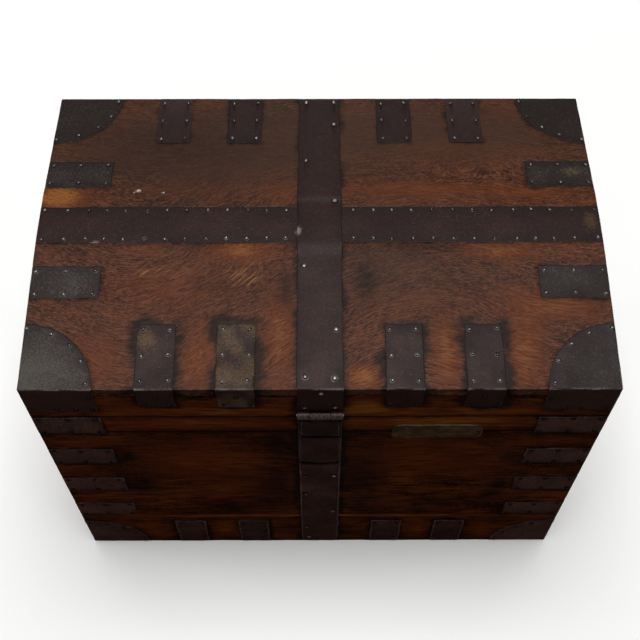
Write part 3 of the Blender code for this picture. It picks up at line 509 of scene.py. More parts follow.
# Tones of oak and iron. The oak of the sides is darker and redder than the top's: partly the wood's own tone,
# partly painted shade of faces that turn away from the light above
TOP_TONES = ("#230F0B", "#3A1E16", "#58301C", "#744932", "#2B1A15", "#602E12", "#885529")
SHADED_SIDE_TONES = ("#110502", "#2A0F02", "#522304", "#3F1C04", "#1A0705", "#4C1C02", "#643A08")
STRAP_TONES = ("#1D1112", "#281817", "#372322", "#685233", "#34140F")
CORNER_TONES = ("#1F1514", "#292120", "#443F39", "#6E6244", "#38180A")
SIDE_IRON_TONES = ("#251211", "#3B221D", "#53382F", "#4A3018", "#0A0303")
NAIL_TONES = ("#2A2020", "#3C312F", "#5C504D", "#54482A", "#150E0D")
# The lid's top board gets painted shade on its edge faces
oak_top = aged_oak("oak_waxed_top", "X", "Z", TOP_TONES, (0.0, 0.0, 0.0), 0.13, 1.3, edge="#DCC58C")
oak_front = aged_oak("oak_waxed_sides_shade_painted", "X", "Y", SHADED_SIDE_TONES, (3.1, 1.7, 0.4), 0.01, 1.6, 2.2)
oak_end = aged_oak("oak_waxed_ends_shade_painted", "Y", "X", SHADED_SIDE_TONES, (1.3, 5.2, 2.6), 0.01, 1.6, 2.2)
strap_iron = wrought_iron("wrought_iron_strap", STRAP_TONES)
corner_iron = wrought_iron("wrought_iron_corner", CORNER_TONES)
side_iron = wrought_iron("wrought_iron_side", SIDE_IRON_TONES, gloss=0.05)
# Nail heads: their last colour is that of bare metal and of their painted highlights
nail_iron = wrought_iron("wrought_iron_nail", NAIL_TONES, 0.4, 0.5, (0.42, 0.30), "#BDB3AE")
lock_iron = filed_iron("filed_iron_lock", "#4A4442", "#7A726E")
plate_brass = old_brass("old_sheet_brass", "#2C1D0D", "#442E16", "#5C4322")

# How far iron stain spreads into the wood from each kind of iron in metres, and how strong it is
STAINS = {
    "front_bracket": (0.0115, 1.00),
    "bracket": (0.0080, 0.60),
    "leaf": (0.0080, 0.60),
    "corner_strap": (0.006, 1.00),
    "clip": (0.007, 1.00),
    "body_strap": (0.013, 1.00),
    "cross": (0.0045, 0.65),
    "centre": (0.008, 0.90),
    "handle": (0.010, 0.95),
    "hasp": (0.010, 0.95),
}
CORNER_STAIN = (0.0080, 0.60)
BOOT_STAIN = (0.006, 1.00)


def prints_on(irons):
    """Where irons lie: for each face of the chest a list of (low u, high u, low v, high v, stain)."""
    found = {face: [] for face in FACES}
    for name, (low, high) in irons:
        stain = next(stain for word, stain in STAINS.items() if word in name)
        for face, (axis, sign, i, j) in FACES.items():
            reached, edge = (high, CHEST_HIGH) if sign > 0 else (low, CHEST_LOW)
            if sign * (reached[axis] - edge[axis]) > -IRON / 2:
                found[face].append((low[i], high[i], low[j], high[j], stain))
    return found


def rect_distance(u, v, rect):
    """Signed distance from a rectangle, negative inside it."""
    du = np.maximum(rect[0] - u, u - rect[1])
    dv = np.maximum(rect[2] - v, v - rect[3])
    return np.hypot(np.maximum(du, 0), np.maximum(dv, 0)) + np.minimum(np.maximum(du, dv), 0)


def disc_distance(u, v, half_u, radius, levels):
    """Signed distance from the quarter discs in a face's corners, half_u to each side and at those levels."""
    reach = [np.hypot(np.abs(u) - half_u, v - level) for level in levels]
    return np.minimum.reduce(reach) - radius


def iron_distances(face, u, v):
    """For every iron on a face of the chest: signed distances from it, and its stain."""
    found = [(rect_distance(u, v, rect), rect[4]) for rect in PRINTS[face]]
    if face == "top":
        discs = disc_distance(u, v, WIDTH / 2, CORNER_RADIUS, (-DEPTH / 2, DEPTH / 2))
        return found + [(discs, CORNER_STAIN)]
    half = DEPTH / 2 if face in ("left", "right") else WIDTH / 2
    return found + [(disc_distance(u, v, half, BOOT_RADIUS, (0.0,)), BOOT_STAIN)]


def stained(u, v, distances, seed):
    """Stain round the irons of a face: it fades with distance, along an edge that wanders, and is patchy."""
    rng = np.random.default_rng(seed + 7)
    total = np.zeros(u.shape)
    wobble = 0.0018 * waves(u, v, 0.045, seed + 2) + 0.0012 * waves(u, v, 0.014, seed + 3)
    for distance, (reach, strength) in distances:
        reach, strength = reach * rng.uniform(0.75, 1.2), strength * rng.uniform(0.80, 1.15)
        spread = np.maximum(distance + wobble * reach / WOBBLE_REACH, 0) / reach
        total = np.maximum(total, strength * np.exp(-(spread**1.3)))
    return total * np.clip(0.85 + 0.35 * waves(u, v, 0.055, seed + 4), 0.2, 1.1)


def spots(u, v, marks):
    """Soft oval marks that each add an amount at a centre.

    A mark is (centre u, centre v, reach u, reach v, amount), with its places in millimetres.
    """
    total = np.zeros(u.shape)
    for *place, amount in marks:
        cu, cv, ru, rv = np.array(place) / 1000
        total += amount * np.exp(-(((u - cu) / ru) ** 2) - ((v - cv) / rv) ** 2)
    return total


def board(node, low, high, body, material, face, seed, glow=(), grime=(), marks=(), lift=None, raw=RAW,
          soft=BOARD_SOFT):
    """A board: a block with rounded edges, a little uneven, hollowed under the irons and stained round them.

    The iron hides the hollow, which begins inside the iron's outline. Its depth goes along the axis of the
    face, and so does the unevenness. Worn spots, grime and marks are those of one face. The marks are the
    spots where the grain is pushed aside, scratched, scuffed or dusty; on the lid's back half the dust and
    grime also paint shade. Raw is how raw the wood is that faces inwards.
    """
    low, high = np.array(low), np.array(high)
    axes = [lines(a, b, soft) for a, b in zip(low, high)]
    points, quads, start = [], [], 0
    for k in range(3):
        i, j = [axis for axis in range(3) if axis != k]
        u, v = np.meshgrid(axes[i], axes[j], indexing="ij")
        for level in (low[k], high[k]):
            grid = np.empty(u.shape + (3,))
            grid[..., i], grid[..., j], grid[..., k] = u, v, level
            points.append(grid.reshape(-1, 3))
            quads.append(grid_quads(*u.shape, start))
            start += u.size
    points = round_over(np.vstack(points), low, high, soft)
    points, tris, values = weld(points, np.vstack(quads), np.zeros((start, 4)))
    flat = points.T.copy()
    covered = np.zeros(len(points), bool)
    noted = np.zeros((len(points), 4))
    for name, (axis, sign, i, j) in FACES.items():
        near = np.abs(points[:, axis] - sign * WOOD_HIGH[axis]) < 2 * BOARD_SOFT
        if not near.any():
            continue
        u, v = flat[i], flat[j]
        uneven = 0.3 * PROUD * waves(u, v, 0.120, seed) + 0.15 * PROUD * waves(u, v, 0.030, seed + 1)
        distances = iron_distances(name, u, v)
        nearest = np.minimum.reduce([distance for distance, _ in distances])
        hollow = BED * np.clip((-BED_INSET - nearest) / BED_RAMP, 0, 1)
        points[:, axis] += np.where(near, sign * (uneven - hollow), 0)
        values[:, 0] = np.maximum(values[:, 0], np.where(near, stained(u, v, distances, seed), 0))
        covered |= near
        if name == face:
            values[:, 1] = np.where(near, np.clip(spots(u, v, glow), 0, 1.5), values[:, 1])
            values[:, 3] = np.where(near, np.clip(spots(u, v, grime), 0, 1), values[:, 3])
            for k, listed in enumerate(marks):
                noted[:, k] = np.where(near, spots(u, v, listed), 0)
        if name != "top":
            dirt = sum(np.exp(-(((flat[2] - seam) / SEAM_DIRT) ** 2)) for seam in (JOINT_HEIGHT, RAIL_LINE))
            values[:, 3] = np.where(near, np.maximum(values[:, 3], dirt), values[:, 3])
    values[:, 2] = np.where(covered, 0, raw)
    if lift is not None:
        points[:, 2] += lift(points)
    return piece(node, points, tris, values, body, material, (node,), marks=noted)


def skin(patches):
    """Closed skin of a plate: an outer and an inner grid for each patch, joined along the sides that are rims.

    A patch with no inner grid is closed in itself.
    """
    points, quads, values, start = [], [], [], 0
    for outer, inner, value, rims in patches:
        sheets = [(outer, value)] if inner is None else [(outer, value), (inner, value)]
        sheets += [(np.stack([outer[side], inner[side]]), np.stack([value[side]] * 2)) for side in rims]
        for grid, wear_and_light in sheets:
            points.append(grid.reshape(-1, 3))
            values.append(wear_and_light.reshape(-1, 4))
            quads.append(grid_quads(*grid.shape[:2], start))
            start += grid.shape[0] * grid.shape[1]
    return weld(np.vstack(points), np.vstack(quads), np.vstack(values))


FIRST_ROW, LAST_ROW, FIRST_COL, LAST_COL = np.s_[0, :], np.s_[-1, :], np.s_[:, 0], np.s_[:, -1]
ALL_RIMS = (FIRST_ROW, LAST_ROW, FIRST_COL, LAST_COL)

# Marks on the irons of the lid, placed from the photograph: flakes of gold-brown rust, and chips
GILT = ((366, 4, 16, 26, 0.44), (352, 94, 22, 16, 0.44), (118, -176, 14, 18, 0.32), (-222, -170, 14, 18, 0.26))
CHIPS = ((-28.5, -13, 3, 6, 0.9), (222, 200, 6, 5, 0.7), (-300, -30, 5, 3, 0.6))

# Wear of the irons: rust, how much the middle is rubbed, how far the dark rim fades into it in metres, and how
# strong a pale line along the rim is, a painted highlight
TOP_WEAR = {"rust": 0.0, "rub": 1.0, "fade": 0.013, "painted_highlight": 0.0}
SIDE_WEAR = {"rust": 0.12, "rub": 0.65, "fade": 0.003, "painted_highlight": 0.35}
CLIP_WEAR = dict(SIDE_WEAR, rub=0.3)
LOCK_WEAR = {"rust": 0.0, "rub": 0.0, "fade": 0.003, "painted_highlight": 0.25}


def sunk(rim, u, v, seed):
    """How far a forged face lies under its sharp form: a quarter round at the rim, and shallow dents."""
    inside = np.clip(EDGE_SOFT - rim, 0, None)
    dents = DENT * np.clip(0.4 + 0.5 * waves(u, v, 0.035, seed), 0, 1)
    return EDGE_SOFT - np.sqrt(np.maximum(EDGE_SOFT**2 - inside**2, 0)) + dents


def worn(sharp, rim, fold, u, v, seed, wear_and_light, lit=1.0):
    """Patina of a forged face: bare metal along folds and at the rim, a pale line along the rim painted as a
    highlight where the rim is lit, rust in blotches, painted shade on the parts on the lid's sides, a dark line
    at the rim painted as the shadow of the gap, and a middle that is rubbed, more at the front of the chest than
    at its back, which also paints the sheen of the light above fading towards the back.
    """
    x, y, z = np.moveaxis(sharp, -1, 0)
    upper = z > EDGE_HEIGHT - IRON / 2
    patchy = np.clip(0.5 + 0.5 * waves(u, v, 0.030, seed + 1), 0.1, 1)
    blotchy = np.clip(0.85 + 0.25 * waves(u, v, 0.040, seed + 2), 0, 1)
    # Rubbed paler in the middle: partly wear, partly painted sheen of the light above, fading towards the back
    rub_and_sheen = wear_and_light["rub"] * (1.05 - 0.6 * np.clip(y / DEPTH + 0.5, 0, 1))
    line = np.exp(-(((rim - RIM_HIGHLIGHT_AT) / RIM_HIGHLIGHT_HALF) ** 2))
    value = np.zeros(u.shape + (4,))
    value[..., 0] = (0.30 * np.exp(-rim / RIM_BARE) + 0.60 * np.exp(-((fold / FOLD_BARE) ** 2))) * patchy
    # Pale line along the rim: painted highlight
    value[..., 0] += wear_and_light["painted_highlight"] * lit * line + upper * spots(x, y, CHIPS)
    value[..., 1] = wear_and_light["rust"] * blotchy + upper * spots(x, y, GILT)
    # Painted shade on the parts of the lid's irons that lie on its sides
    value[..., 2] = ~upper & (z > JOINT_HEIGHT)
    # Dark line at the rim: painted shadow of the gap round the plate
    value[..., 3] = rub_and_sheen * (1 - np.exp(-rim / wear_and_light["fade"])) - np.exp(-((rim / RIM_SHADOW) ** 2))
    return value


def forge(sharp, rim, fold, u, v, rims, seed, wear_and_light, lit=1.0):
    """One patch of forged plate from its sharp outline on the chest.

    The outside is rounded over the chest's edges and the rim, and dented a little; the inside lies one iron's
    thickness within.
    """
    outer = round_over(sharp, CHEST_LOW, CHEST_HIGH, IRON)
    inner = np.clip(sharp, CHEST_LOW + IRON, CHEST_HIGH - IRON)
    share = np.minimum(sunk(rim, u, v, seed) / IRON, 0.85)
    outer = outer + (inner - outer) * share[..., None]
    return outer, inner, worn(sharp, rim, fold, u, v, seed, wear_and_light, lit), rims


def hung_plate(half, top, foot, sag, corner, back, front, seed):
    """A flat plate on the chest's front: a grid across it and down it, with a bowed foot and rounded corners.

    Within a corner's radius of the foot the half width is less by the corner minus the root of its square less
    the square of what is left of the radius. The foot rises by the sag times the square of the share across.
    """
    level = lines(foot, top, EDGE_SOFT, np.linspace(foot, foot + corner, 7))[::-1]
    z, across = np.meshgrid(level, lines(-half, half, EDGE_SOFT) / half, indexing="ij")
    short = np.clip(foot + corner - z, 0, corner)
    x = across * (half - corner + np.sqrt(corner**2 - short**2))
    z = z + sag * (x / half) ** 2 * (top - z) / (top - foot)
    rim = np.minimum.reduce([half - np.abs(x), z - foot - sag * (x / half) ** 2, top - z])
    outer = np.stack([x, front + sunk(rim, x, z, seed), z], -1)
    inner = np.stack([x, np.full(x.shape, back), z], -1)
    return outer, inner, worn(outer, rim, np.full(x.shape, 1.0), x, z, seed, LOCK_WEAR), ALL_RIMS


def shadow_under(patch, edge, reach):
    """Painted shadow under an edge that stands out from a patch: dark for a reach below it, then fading."""
    x, y, z = np.moveaxis(patch[0], -1, 0)
    below = edge(x) - z
    fade = np.exp(-((np.maximum(below - reach, 0) / SHADOW_FADE) ** 2))
    patch[2][..., 2] = np.where((y < 0) & (below > -SHADOW_ABOVE), fade, 0)
    return patch


def strip_patch(route, plane, low, high, seed, wear_and_light=TOP_WEAR):
    """A strip folded along a route of corners in a plane, from low to high across it: a profile on a path.

    The rim of a level strip is lit along its upper side.
    """
    route = np.array(route)
    stops = np.concatenate([[0], np.cumsum(np.linalg.norm(np.diff(route, axis=0), axis=1))])
    folds = (stops[1:-1, None] + np.concatenate([-FOLD_LINES, [0.0], FOLD_LINES])).ravel()
    along = np.unique(np.concatenate([lines(0, stops[-1], EDGE_SOFT), folds]).round(7))
    t, s = np.meshgrid(along, lines(low, high, EDGE_SOFT), indexing="ij")
    a, b, c = PLANES[plane]
    sharp = np.empty(t.shape + (3,))
    sharp[..., a], sharp[..., b] = np.interp(t, stops, route[:, 0]), np.interp(t, stops, route[:, 1])
    sharp[..., c] = s + EDGE_WAVE * waves(t, 0 * t, 0.050, seed) * (2 * (s - low) / (high - low) - 1)
    rim = np.minimum.reduce([t, stops[-1] - t, s - low, high - s])
    fold = np.abs(t[..., None] - stops[1:-1]).min(-1) if len(stops) > 2 else np.full(t.shape, 1.0)
    lit = (s - low) / (high - low) if plane == "XY" else 1.0
    return forge(sharp, rim, fold, t, s, ALL_RIMS, seed, wear_and_light, lit)


def quarter_patch(corner, first, second, radius, seed, wear_and_light=TOP_WEAR):
    """A quarter disc on a face of the chest: the unit square carried on to it, so that two sides are folds.

    A point (p, q) of the square goes to p sqrt(1 - q q / 2) along the first way and q sqrt(1 - p p / 2) along
    the second.
    """
    reach = lines(0, radius, EDGE_SOFT, FOLD_LINES) / radius
    p, q = np.meshgrid(reach, reach, indexing="ij")
    u, v = radius * p * np.sqrt(1 - q**2 / 2), radius * q * np.sqrt(1 - p**2 / 2)
    sharp = corner + u[..., None] * first + v[..., None] * second
    rim = np.maximum(radius - np.hypot(u, v), 0)
    return forge(sharp, rim, np.minimum(u, v), u, v, (LAST_ROW, LAST_COL), seed, wear_and_light)


def flange_patch(corner, first, radius, drop, seed):
    """A flange below the fold of a corner iron: a rectangle radius along and drop down."""
    along, down = [lines(0, reach, EDGE_SOFT, FOLD_LINES) for reach in (radius, drop)]
    u, v = np.meshgrid(along, down, indexing="ij")
    sharp = corner + u[..., None] * first + v[..., None] * np.array([0.0, 0.0, -1.0])
    rim = np.minimum(radius - u, drop - v)
    return forge(sharp, rim, np.minimum(u, v), u, v, (LAST_ROW, LAST_COL), seed, TOP_WEAR)


def barrel(low, high):
    """A hinge knuckle: a closed profile of radius and length carried round the hasp's axis, with painted shadow
    on its back half and bare metal on its front half that also paints a highlight.
    """
    soft, bore = EDGE_SOFT, HASP_PIN
    length = np.array([low, low, low + soft, high - soft, high, high, low])
    radius = np.array([bore, BARREL - soft, BARREL, BARREL, BARREL - soft, bore, bore])
    turn = np.linspace(0, 2 * np.pi, 29)
    grid = np.stack([
        np.broadcast_to(length, (turn.size, length.size)),
        HASP_Y + np.outer(np.cos(turn), radius),
        HASP_Z + np.outer(np.sin(turn), radius),
    ], -1)
    wear_and_light = np.zeros(grid.shape[:2] + (4,))
    # Painted shadow on the back half; bare metal and painted highlight on the front half
    behind_in_shade = (np.cos(turn) > 0.05)[:, None]
    wear_and_light[..., 0], wear_and_light[..., 2] = np.where(behind_in_shade, 0.0, KNUCKLE_BARE_AND_HIGHLIGHT), behind_in_shade
    return grid, None, wear_and_light, ()


def iron(name, patches, body, slot, material, lift=None, stands_for=None):
    """A forged iron from its patches, for the node of its name if no other is given; lift raises it."""
    points, tris, values = skin(patches)
    if lift is not None:
        points[:, 2] += lift(points)
    nodes = (name,) if stands_for is None else stands_for
    return piece(name, points, tris, values, body, material, nodes)


def bracket(name, kind, route, plane, centre, seed, wear_and_light=TOP_WEAR, stands_for=None):
    """An iron that is one strip, as wide as a bracket, about a centre line."""
    patch = strip_patch(route, plane, centre - BRACKET / 2, centre + BRACKET / 2, seed, wear_and_light)
    iron(name, [patch], *kind, stands_for=stands_for)


def lid_route(edge):
    """Route of a bracket over an edge of the lid: along the top to the fold and down to its foot."""
    return [(edge - np.sign(edge) * LEG, EDGE_HEIGHT), (edge, EDGE_HEIGHT), (edge, BRACKET_FOOT)]


def clip_route(edge):
    """Route of a clip round a bottom edge: down to the fold and along under the base."""
    return [(edge, CLIP_LEG), (edge, 0.0), (edge - np.sign(edge) * CLIP_FOOT, 0.0)]


def eased_copy(node, body, material, width=0.0006):
    """A copy of a CAD piece with its edges eased by a bevel."""
    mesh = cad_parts[node].data.copy()
    mesh.materials.clear()
    bm = bmesh.new()
    bm.from_mesh(mesh)
    bmesh.ops.remove_doubles(bm, verts=bm.verts[:], dist=1e-6)
    bmesh.ops.dissolve_limit(bm, angle_limit=math.radians(1), verts=bm.verts[:], edges=bm.edges[:])
    bm.to_mesh(mesh)
    bm.free()
    places = np.empty(3 * len(mesh.vertices))
    mesh.vertices.foreach_get("co", places)
    height = places[2::3]
    values = np.zeros((height.size, 4))
    # Painted shade on the parts that lie on the lid's sides, as on the forged irons
    values[:, 2] = (height < EDGE_HEIGHT - IRON / 2) & (height > JOINT_HEIGHT)
    values[:, 3] = 0.6
    paint(mesh, "patina_and_painted_light", values)
    obj = settle(node + "_forged", mesh, body, material, (node,), 40)
    rounding = obj.modifiers.new("eased", "BEVEL")
    rounding.width, rounding.segments = width, 2
    rounding.limit_method, rounding.angle_limit = "ANGLE", math.radians(40)


def cut_keyhole(obj):
    """Cuts the keyhole: a round hole with a slot under it, carried along the depth of the front."""
    turn = np.linspace(math.radians(-60), math.radians(240), 21)
    across = np.concatenate([KEY_RADIUS * np.cos(turn), [-KEY_SLOT, KEY_SLOT]])
    up = np.concatenate([KEY_CENTRE + KEY_RADIUS * np.sin(turn), [KEY_FOOT, KEY_FOOT]])
    ring = np.arange(across.size)
    points = np.stack([np.tile(across, 2), np.repeat(KEY_DEPTH, ring.size), np.tile(up, 2)], -1).tolist()
    after = np.roll(ring, -1)
    faces = np.stack([ring, after, after + ring.size, ring + ring.size], -1).tolist()
    faces += [ring[::-1].tolist(), (ring + ring.size).tolist()]
    mesh = bpy.data.meshes.new("keyhole_cutter")
    mesh.from_pydata(points, [], faces)
    cutter = bpy.data.objects.new("keyhole_cutter", mesh)
    bpy.context.scene.collection.objects.link(cutter)
    hole = obj.modifiers.new("keyhole", "BOOLEAN")
    hole.object, hole.operation, hole.solver = cutter, "DIFFERENCE", "EXACT"
    graph = bpy.context.evaluated_depsgraph_get()
    done = bpy.data.meshes.new_from_object(obj.evaluated_get(graph))
    obj.modifiers.clear()
    obj.data = done
    bpy.data.objects.remove(cutter)


# A nail head's rings from its middle outwards: their angles on the dome, then how much painted shadow darkens
# them and two rings round the dome. Next how far the painted shadow reaches, in radii, and in metres how high
# its ring and the head stand, how deep the head is let in and how far a nail strays
DOME = np.radians([90, 58, 28, 0])
HEAD_SHADE = np.array([0.0, 0.0, 0.1, 0.9, 1.0, 1.0])
SHADE_REACH, SHADE_RISE, HEAD_RISE, HEAD_SUNK, NAIL_STRAY = 1.35, 0.00008, 0.0002, -0.0006, 0.0006


def nails(name, placed, radius, height, body, seed, bare_and_highlight=0.45):
    """Domed nail heads at places with the way each faces: half an ellipse carried round in ten steps.

    A dark ring of painted shadow lies round each, a third wider than the head, and heads that face sideways
    get painted shade. Heads that face up get a painted highlight near their top, drawn as bare metal.
    """
    at, facing = [np.array(listed, float) for listed in zip(*placed)]
    rng = np.random.default_rng(seed)
    facing = facing + rng.normal(0, 0.05, facing.shape)
    facing /= np.linalg.norm(facing, axis=1, keepdims=True)
    side = np.cross(facing, np.where(np.abs(facing[:, :1]) > 0.7, [[0.0, 1.0, 0.0]], [[1.0, 0.0, 0.0]]))
    side /= np.linalg.norm(side, axis=1, keepdims=True)
    other = np.cross(facing, side)
    size = rng.uniform(0.9, 1.08, (len(at), 1, 1, 1))
    for way in (side, other):
        at = at + rng.normal(0, NAIL_STRAY, (len(at), 1)) * way
    out = np.concatenate([radius * np.cos(DOME), [SHADE_REACH * radius, 0.0]])
    up = np.concatenate([height * np.sin(DOME) + HEAD_RISE, [SHADE_RISE, HEAD_SUNK]])
    turn = np.linspace(0, 2 * np.pi, 11)[:, None]
    spoke = np.cos(turn) * side[:, None, None] + np.sin(turn) * other[:, None, None]
    rise = up[:, None, None] * facing[:, None, None]
    grid = at[:, None, None] + size * (out[:, None, None] * spoke + rise)
    grid[..., 2] = np.minimum(grid[..., 2], cad_box[1][2])
    wear_and_light = np.zeros(grid.shape[:3] + (4,))
    lit = np.clip(facing[:, 2], 0.15, 1)[:, None, None]
    painted_highlight = np.broadcast_to(bare_and_highlight, len(at))[:, None, None]
    dome = np.clip(up / height, 0, 1)[:, None] ** 2
    # Painted highlight near the top of each head, strongest on heads that face up
    wear_and_light[..., 0] = painted_highlight * lit * dome * rng.uniform(0.5, 1.2, (len(at), 1, 1))
    # Painted shadow on the dome's foot and the ring round it, and painted shade on heads that face sideways
    wear_and_light[..., 2] = np.maximum(HEAD_SHADE[:, None], 0.8 - 0.8 * lit)
    rows, cols = grid.shape[1:3]
    quads = np.vstack([grid_quads(rows, cols, k * rows * cols) for k in range(len(at))])
    points, tris, values = weld(grid.reshape(-1, 3), quads, wear_and_light.reshape(-1, 4))
    return piece(name, points, tris, values, body, nail_iron, sharp=50)


def on_top(x, y, raised=0.0):
    """Place and facing of a nail on the crowned lid."""
    step = 1e-4
    slope = float(crown(y + step) - crown(y - step)) / (2 * step)
    return (x, y, EDGE_HEIGHT + float(crown(y)) + raised), (0.0, -slope, 1.0)


def mirror_y(low, high):
    """A box on the other side of the chest, front to back."""
    return (low[0], -high[1], low[2]), (high[0], -low[1], high[2])


# Where the irons lie on the boards
LID_NODES = [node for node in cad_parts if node.startswith("lid_") and "bracket" in node]
LID_NODES += ["lid_cross_strap", "lid_centre_strap", "lid_hinge_leaf_left", "lid_hinge_leaf_right"]
STRAP_NODES = [f"corner_strap_{side}_{k}" for side, _ in SIDES for k in (1, 2, 3, 4)]
CLIP_NODES = [f"base_clip_{row}_{side}" for row in ("outer", "inner") for side, _ in SIDES]
BODY_NODES = STRAP_NODES + CLIP_NODES
BODY_NODES += ["body_strap", "hinge_leaf_left", "hinge_leaf_right", "handle_plate_left", "handle_plate_right"]
IRONS = [(node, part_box(node)) for node in LID_NODES + BODY_NODES]
IRONS += [(node, mirror_y(*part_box(node))) for node in STRAP_NODES + CLIP_NODES]
IRONS += [
    ("end_clip", ((sx * WIDTH / 2 - CLIP_FOOT * (sx > 0), sy * END_BRACKET - BRACKET / 2, 0.0),
                  (sx * WIDTH / 2 + CLIP_FOOT * (sx < 0), sy * END_BRACKET + BRACKET / 2, CLIP_LEG)))
    for _, sx in SIDES for _, sy in ENDS
]
HASP_ROOM = 0.010
IRONS += [("hasp_room", ((-STRAP / 2, -DEPTH / 2, LID_BASE - HASP_ROOM),
                         (STRAP / 2, -DEPTH / 2 + IRON, EDGE_HEIGHT - HASP_ROOM)))]
PRINTS = prints_on(IRONS)
for end, _ in ENDS:
    for side, _ in SIDES:
        low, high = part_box(f"lid_corner_{end}_{side}")
        for face, k in ((end, 0), (side, 1)):
            PRINTS[face].append((low[k], high[k], CORNER_FOOT, EDGE_HEIGHT + CROWN, CORNER_STAIN))

# Oak boards. Their marks are placed from the photograph: warm worn patches, dark smudges, and on the top also
# where the grain is pushed aside, scratches, scuffs and dust
# On the lid's back half the dust and the wide dark smudge also paint the shade that falls there
TOP_GLOW = (
    (-358, 48, 34, 20, 1.90), (-105, -40, 40, 20, 1.10), (-52, -170, 20, 70, 0.90), (-155, -200, 24, 50, 0.80),
    (160, -195, 20, 55, 0.90), (262, -190, 26, 60, 0.90), (310, -125, 60, 22, 0.80), (130, 62, 140, 14, 0.62),
    (290, 55, 80, 12, 0.55), (240, -45, 50, 14, 0.95), (-285, -200, 40, 40, 0.60), (55, -225, 22, 16, 1.30),
    (-30, 60, 50, 10, 0.50), (-180, 60, 80, 12, 0.40), (110, -130, 90, 50, 0.15), (-200, -100, 100, 35, 0.45),
    (150, 150, 120, 50, 0.30), (300, 215, 50, 25, 0.45),
)
TOP_GRIME = (
    (60, -90, 16, 26, 1.00), (-180, -34, 70, 8, 0.60), (120, -34, 60, 10, 0.60), (-45, -105, 12, 30, 0.80),
    # The wide smudge at the back left is partly painted shade
    (-190, 140, 150, 60, 0.42), (-140, -95, 30, 12, 0.40), (-320, -20, 60, 30, 0.20),
)
TOP_MARKS = (
    ((225, 113, 70, 35, -0.036), (130, -120, 130, 200, -0.050), (-240, -140, 150, 250, 0.090)),
    ((-95, -80, 60, 50, 1.12), (-225, -75, 60, 40, 1.02)),
    ((-250, 58, 11, 7, 1.05), (-215, 56, 7, 5, 0.95)),
    # Dust, partly painted shade of the lid's back half
    ((-180, 130, 190, 80, 1.05), (90, 180, 120, 40, 0.55), (270, 180, 110, 50, 0.60),
     (-320, -20, 60, 30, 0.20), (80, -60, 50, 30, 0.40), (0, 170, 400, 90, 0.60), (130, -90, 130, 70, 0.40)),
)
FRONT_GLOW = (
    (-180, 330, 110, 70, 0.65), (180, 330, 120, 60, 0.50), (-150, 210, 80, 40, 0.35), (0, 115, 340, 5.5, 1.30),
    (-155, 60, 22, 40, 0.95), (-270, 50, 18, 40, 0.80), (160, 55, 22, 40, 0.85), (265, 50, 20, 40, 0.75),
    (-330, 395, 50, 10, 0.70), (320, 395, 50, 10, 0.70),
)
FRONT_GRIME = (
    (-60, 230, 30, 140, 0.75), (65, 230, 35, 150, 0.75), (-265, 240, 24, 26, 1.20), (268, 240, 18, 26, 1.10),
    (-120, 160, 60, 30, 0.45), (150, 170, 90, 30, 0.45), (-270, 345, 14, 22, 1.00), (268, 345, 14, 22, 0.80),
    (-55, 390, 24, 30, 0.80), (0, 100, 400, 6, 0.40),
)
UPPER_GLOW = ((160, 455, 150, 20, 1.30), (-180, 450, 140, 20, 0.95))
RAIL_GLOW = ((60, 500, 30, 30, 0.90), (180, 485, 200, 20, 0.90), (-180, 485, 200, 20, 0.90))
END_GRIME = ((0, 0, 300, 40, 0.45),)
BACK_GRIME = ((0, 0, 400, 40, 0.45),)

board("lid_top", (-WOOD_X, -WOOD_Y, LID_UNDER), WOOD_HIGH, "lid", oak_top, "top", 11, TOP_GLOW, TOP_GRIME,
      TOP_MARKS, on_lid, soft=LID_SOFT)
board("lid_rail_front", (-WOOD_X, -WOOD_Y, LID_BASE), (WOOD_X, -IN_Y, RAIL_TOP), "lid", oak_front, "front", 21,
      RAIL_GLOW, lift=lid_share, soft=LID_SOFT)
board("lid_rail_back", (-WOOD_X, IN_Y, LID_BASE), (WOOD_X, WOOD_Y, RAIL_TOP), "lid", oak_front, "back", 31,
      lift=lid_share)
reach = IN_Y - GAP
for word, sx in SIDES:
    inner, outer = sorted((sx * IN_X, sx * WOOD_X))
    board(f"lid_end_{word}", (inner, -reach, LID_BASE), (outer, reach, RAIL_TOP), "lid", oak_end, word,
          41 + sx, lift=lid_share)
    board(f"end_board_{word}", (inner, -reach, PROUD), (outer, reach, BODY_TOP), "body", oak_end, word,
          51 + sx, grime=END_GRIME)
front_upper = board("front_board_upper", (-WOOD_X, -WOOD_Y, RAIL_LINE + SEAM), (WOOD_X, -IN_Y, BODY_TOP),
                    "body", oak_front, "front", 61, UPPER_GLOW)
board("front_board_lower", (-WOOD_X, -WOOD_Y, PROUD), (WOOD_X, -IN_Y, RAIL_LINE - SEAM), "body", oak_front,
      "front", 71, FRONT_GLOW, FRONT_GRIME)
board("back_board", (-WOOD_X, IN_Y, PROUD), (WOOD_X, WOOD_Y, BODY_TOP), "body", oak_front, "back", 81,
      grime=BACK_GRIME)
board("floor_board", (-IN_X + GAP, -reach, PROUD), (IN_X - GAP, reach, PROUD + FLOOR_BOARD), "body", oak_front,
      "under", 91, raw=FLOOR_RAW)

# Kinds of iron: body, material slot, material and lift
LID_STRAP = ("lid", "strap_iron", strap_iron, on_lid)
LID_CORNER = ("lid", "corner_iron", corner_iron, on_lid)
BODY_STRAP = ("body", "strap_iron", side_iron)
BODY_CORNER = ("body", "corner_iron", side_iron)

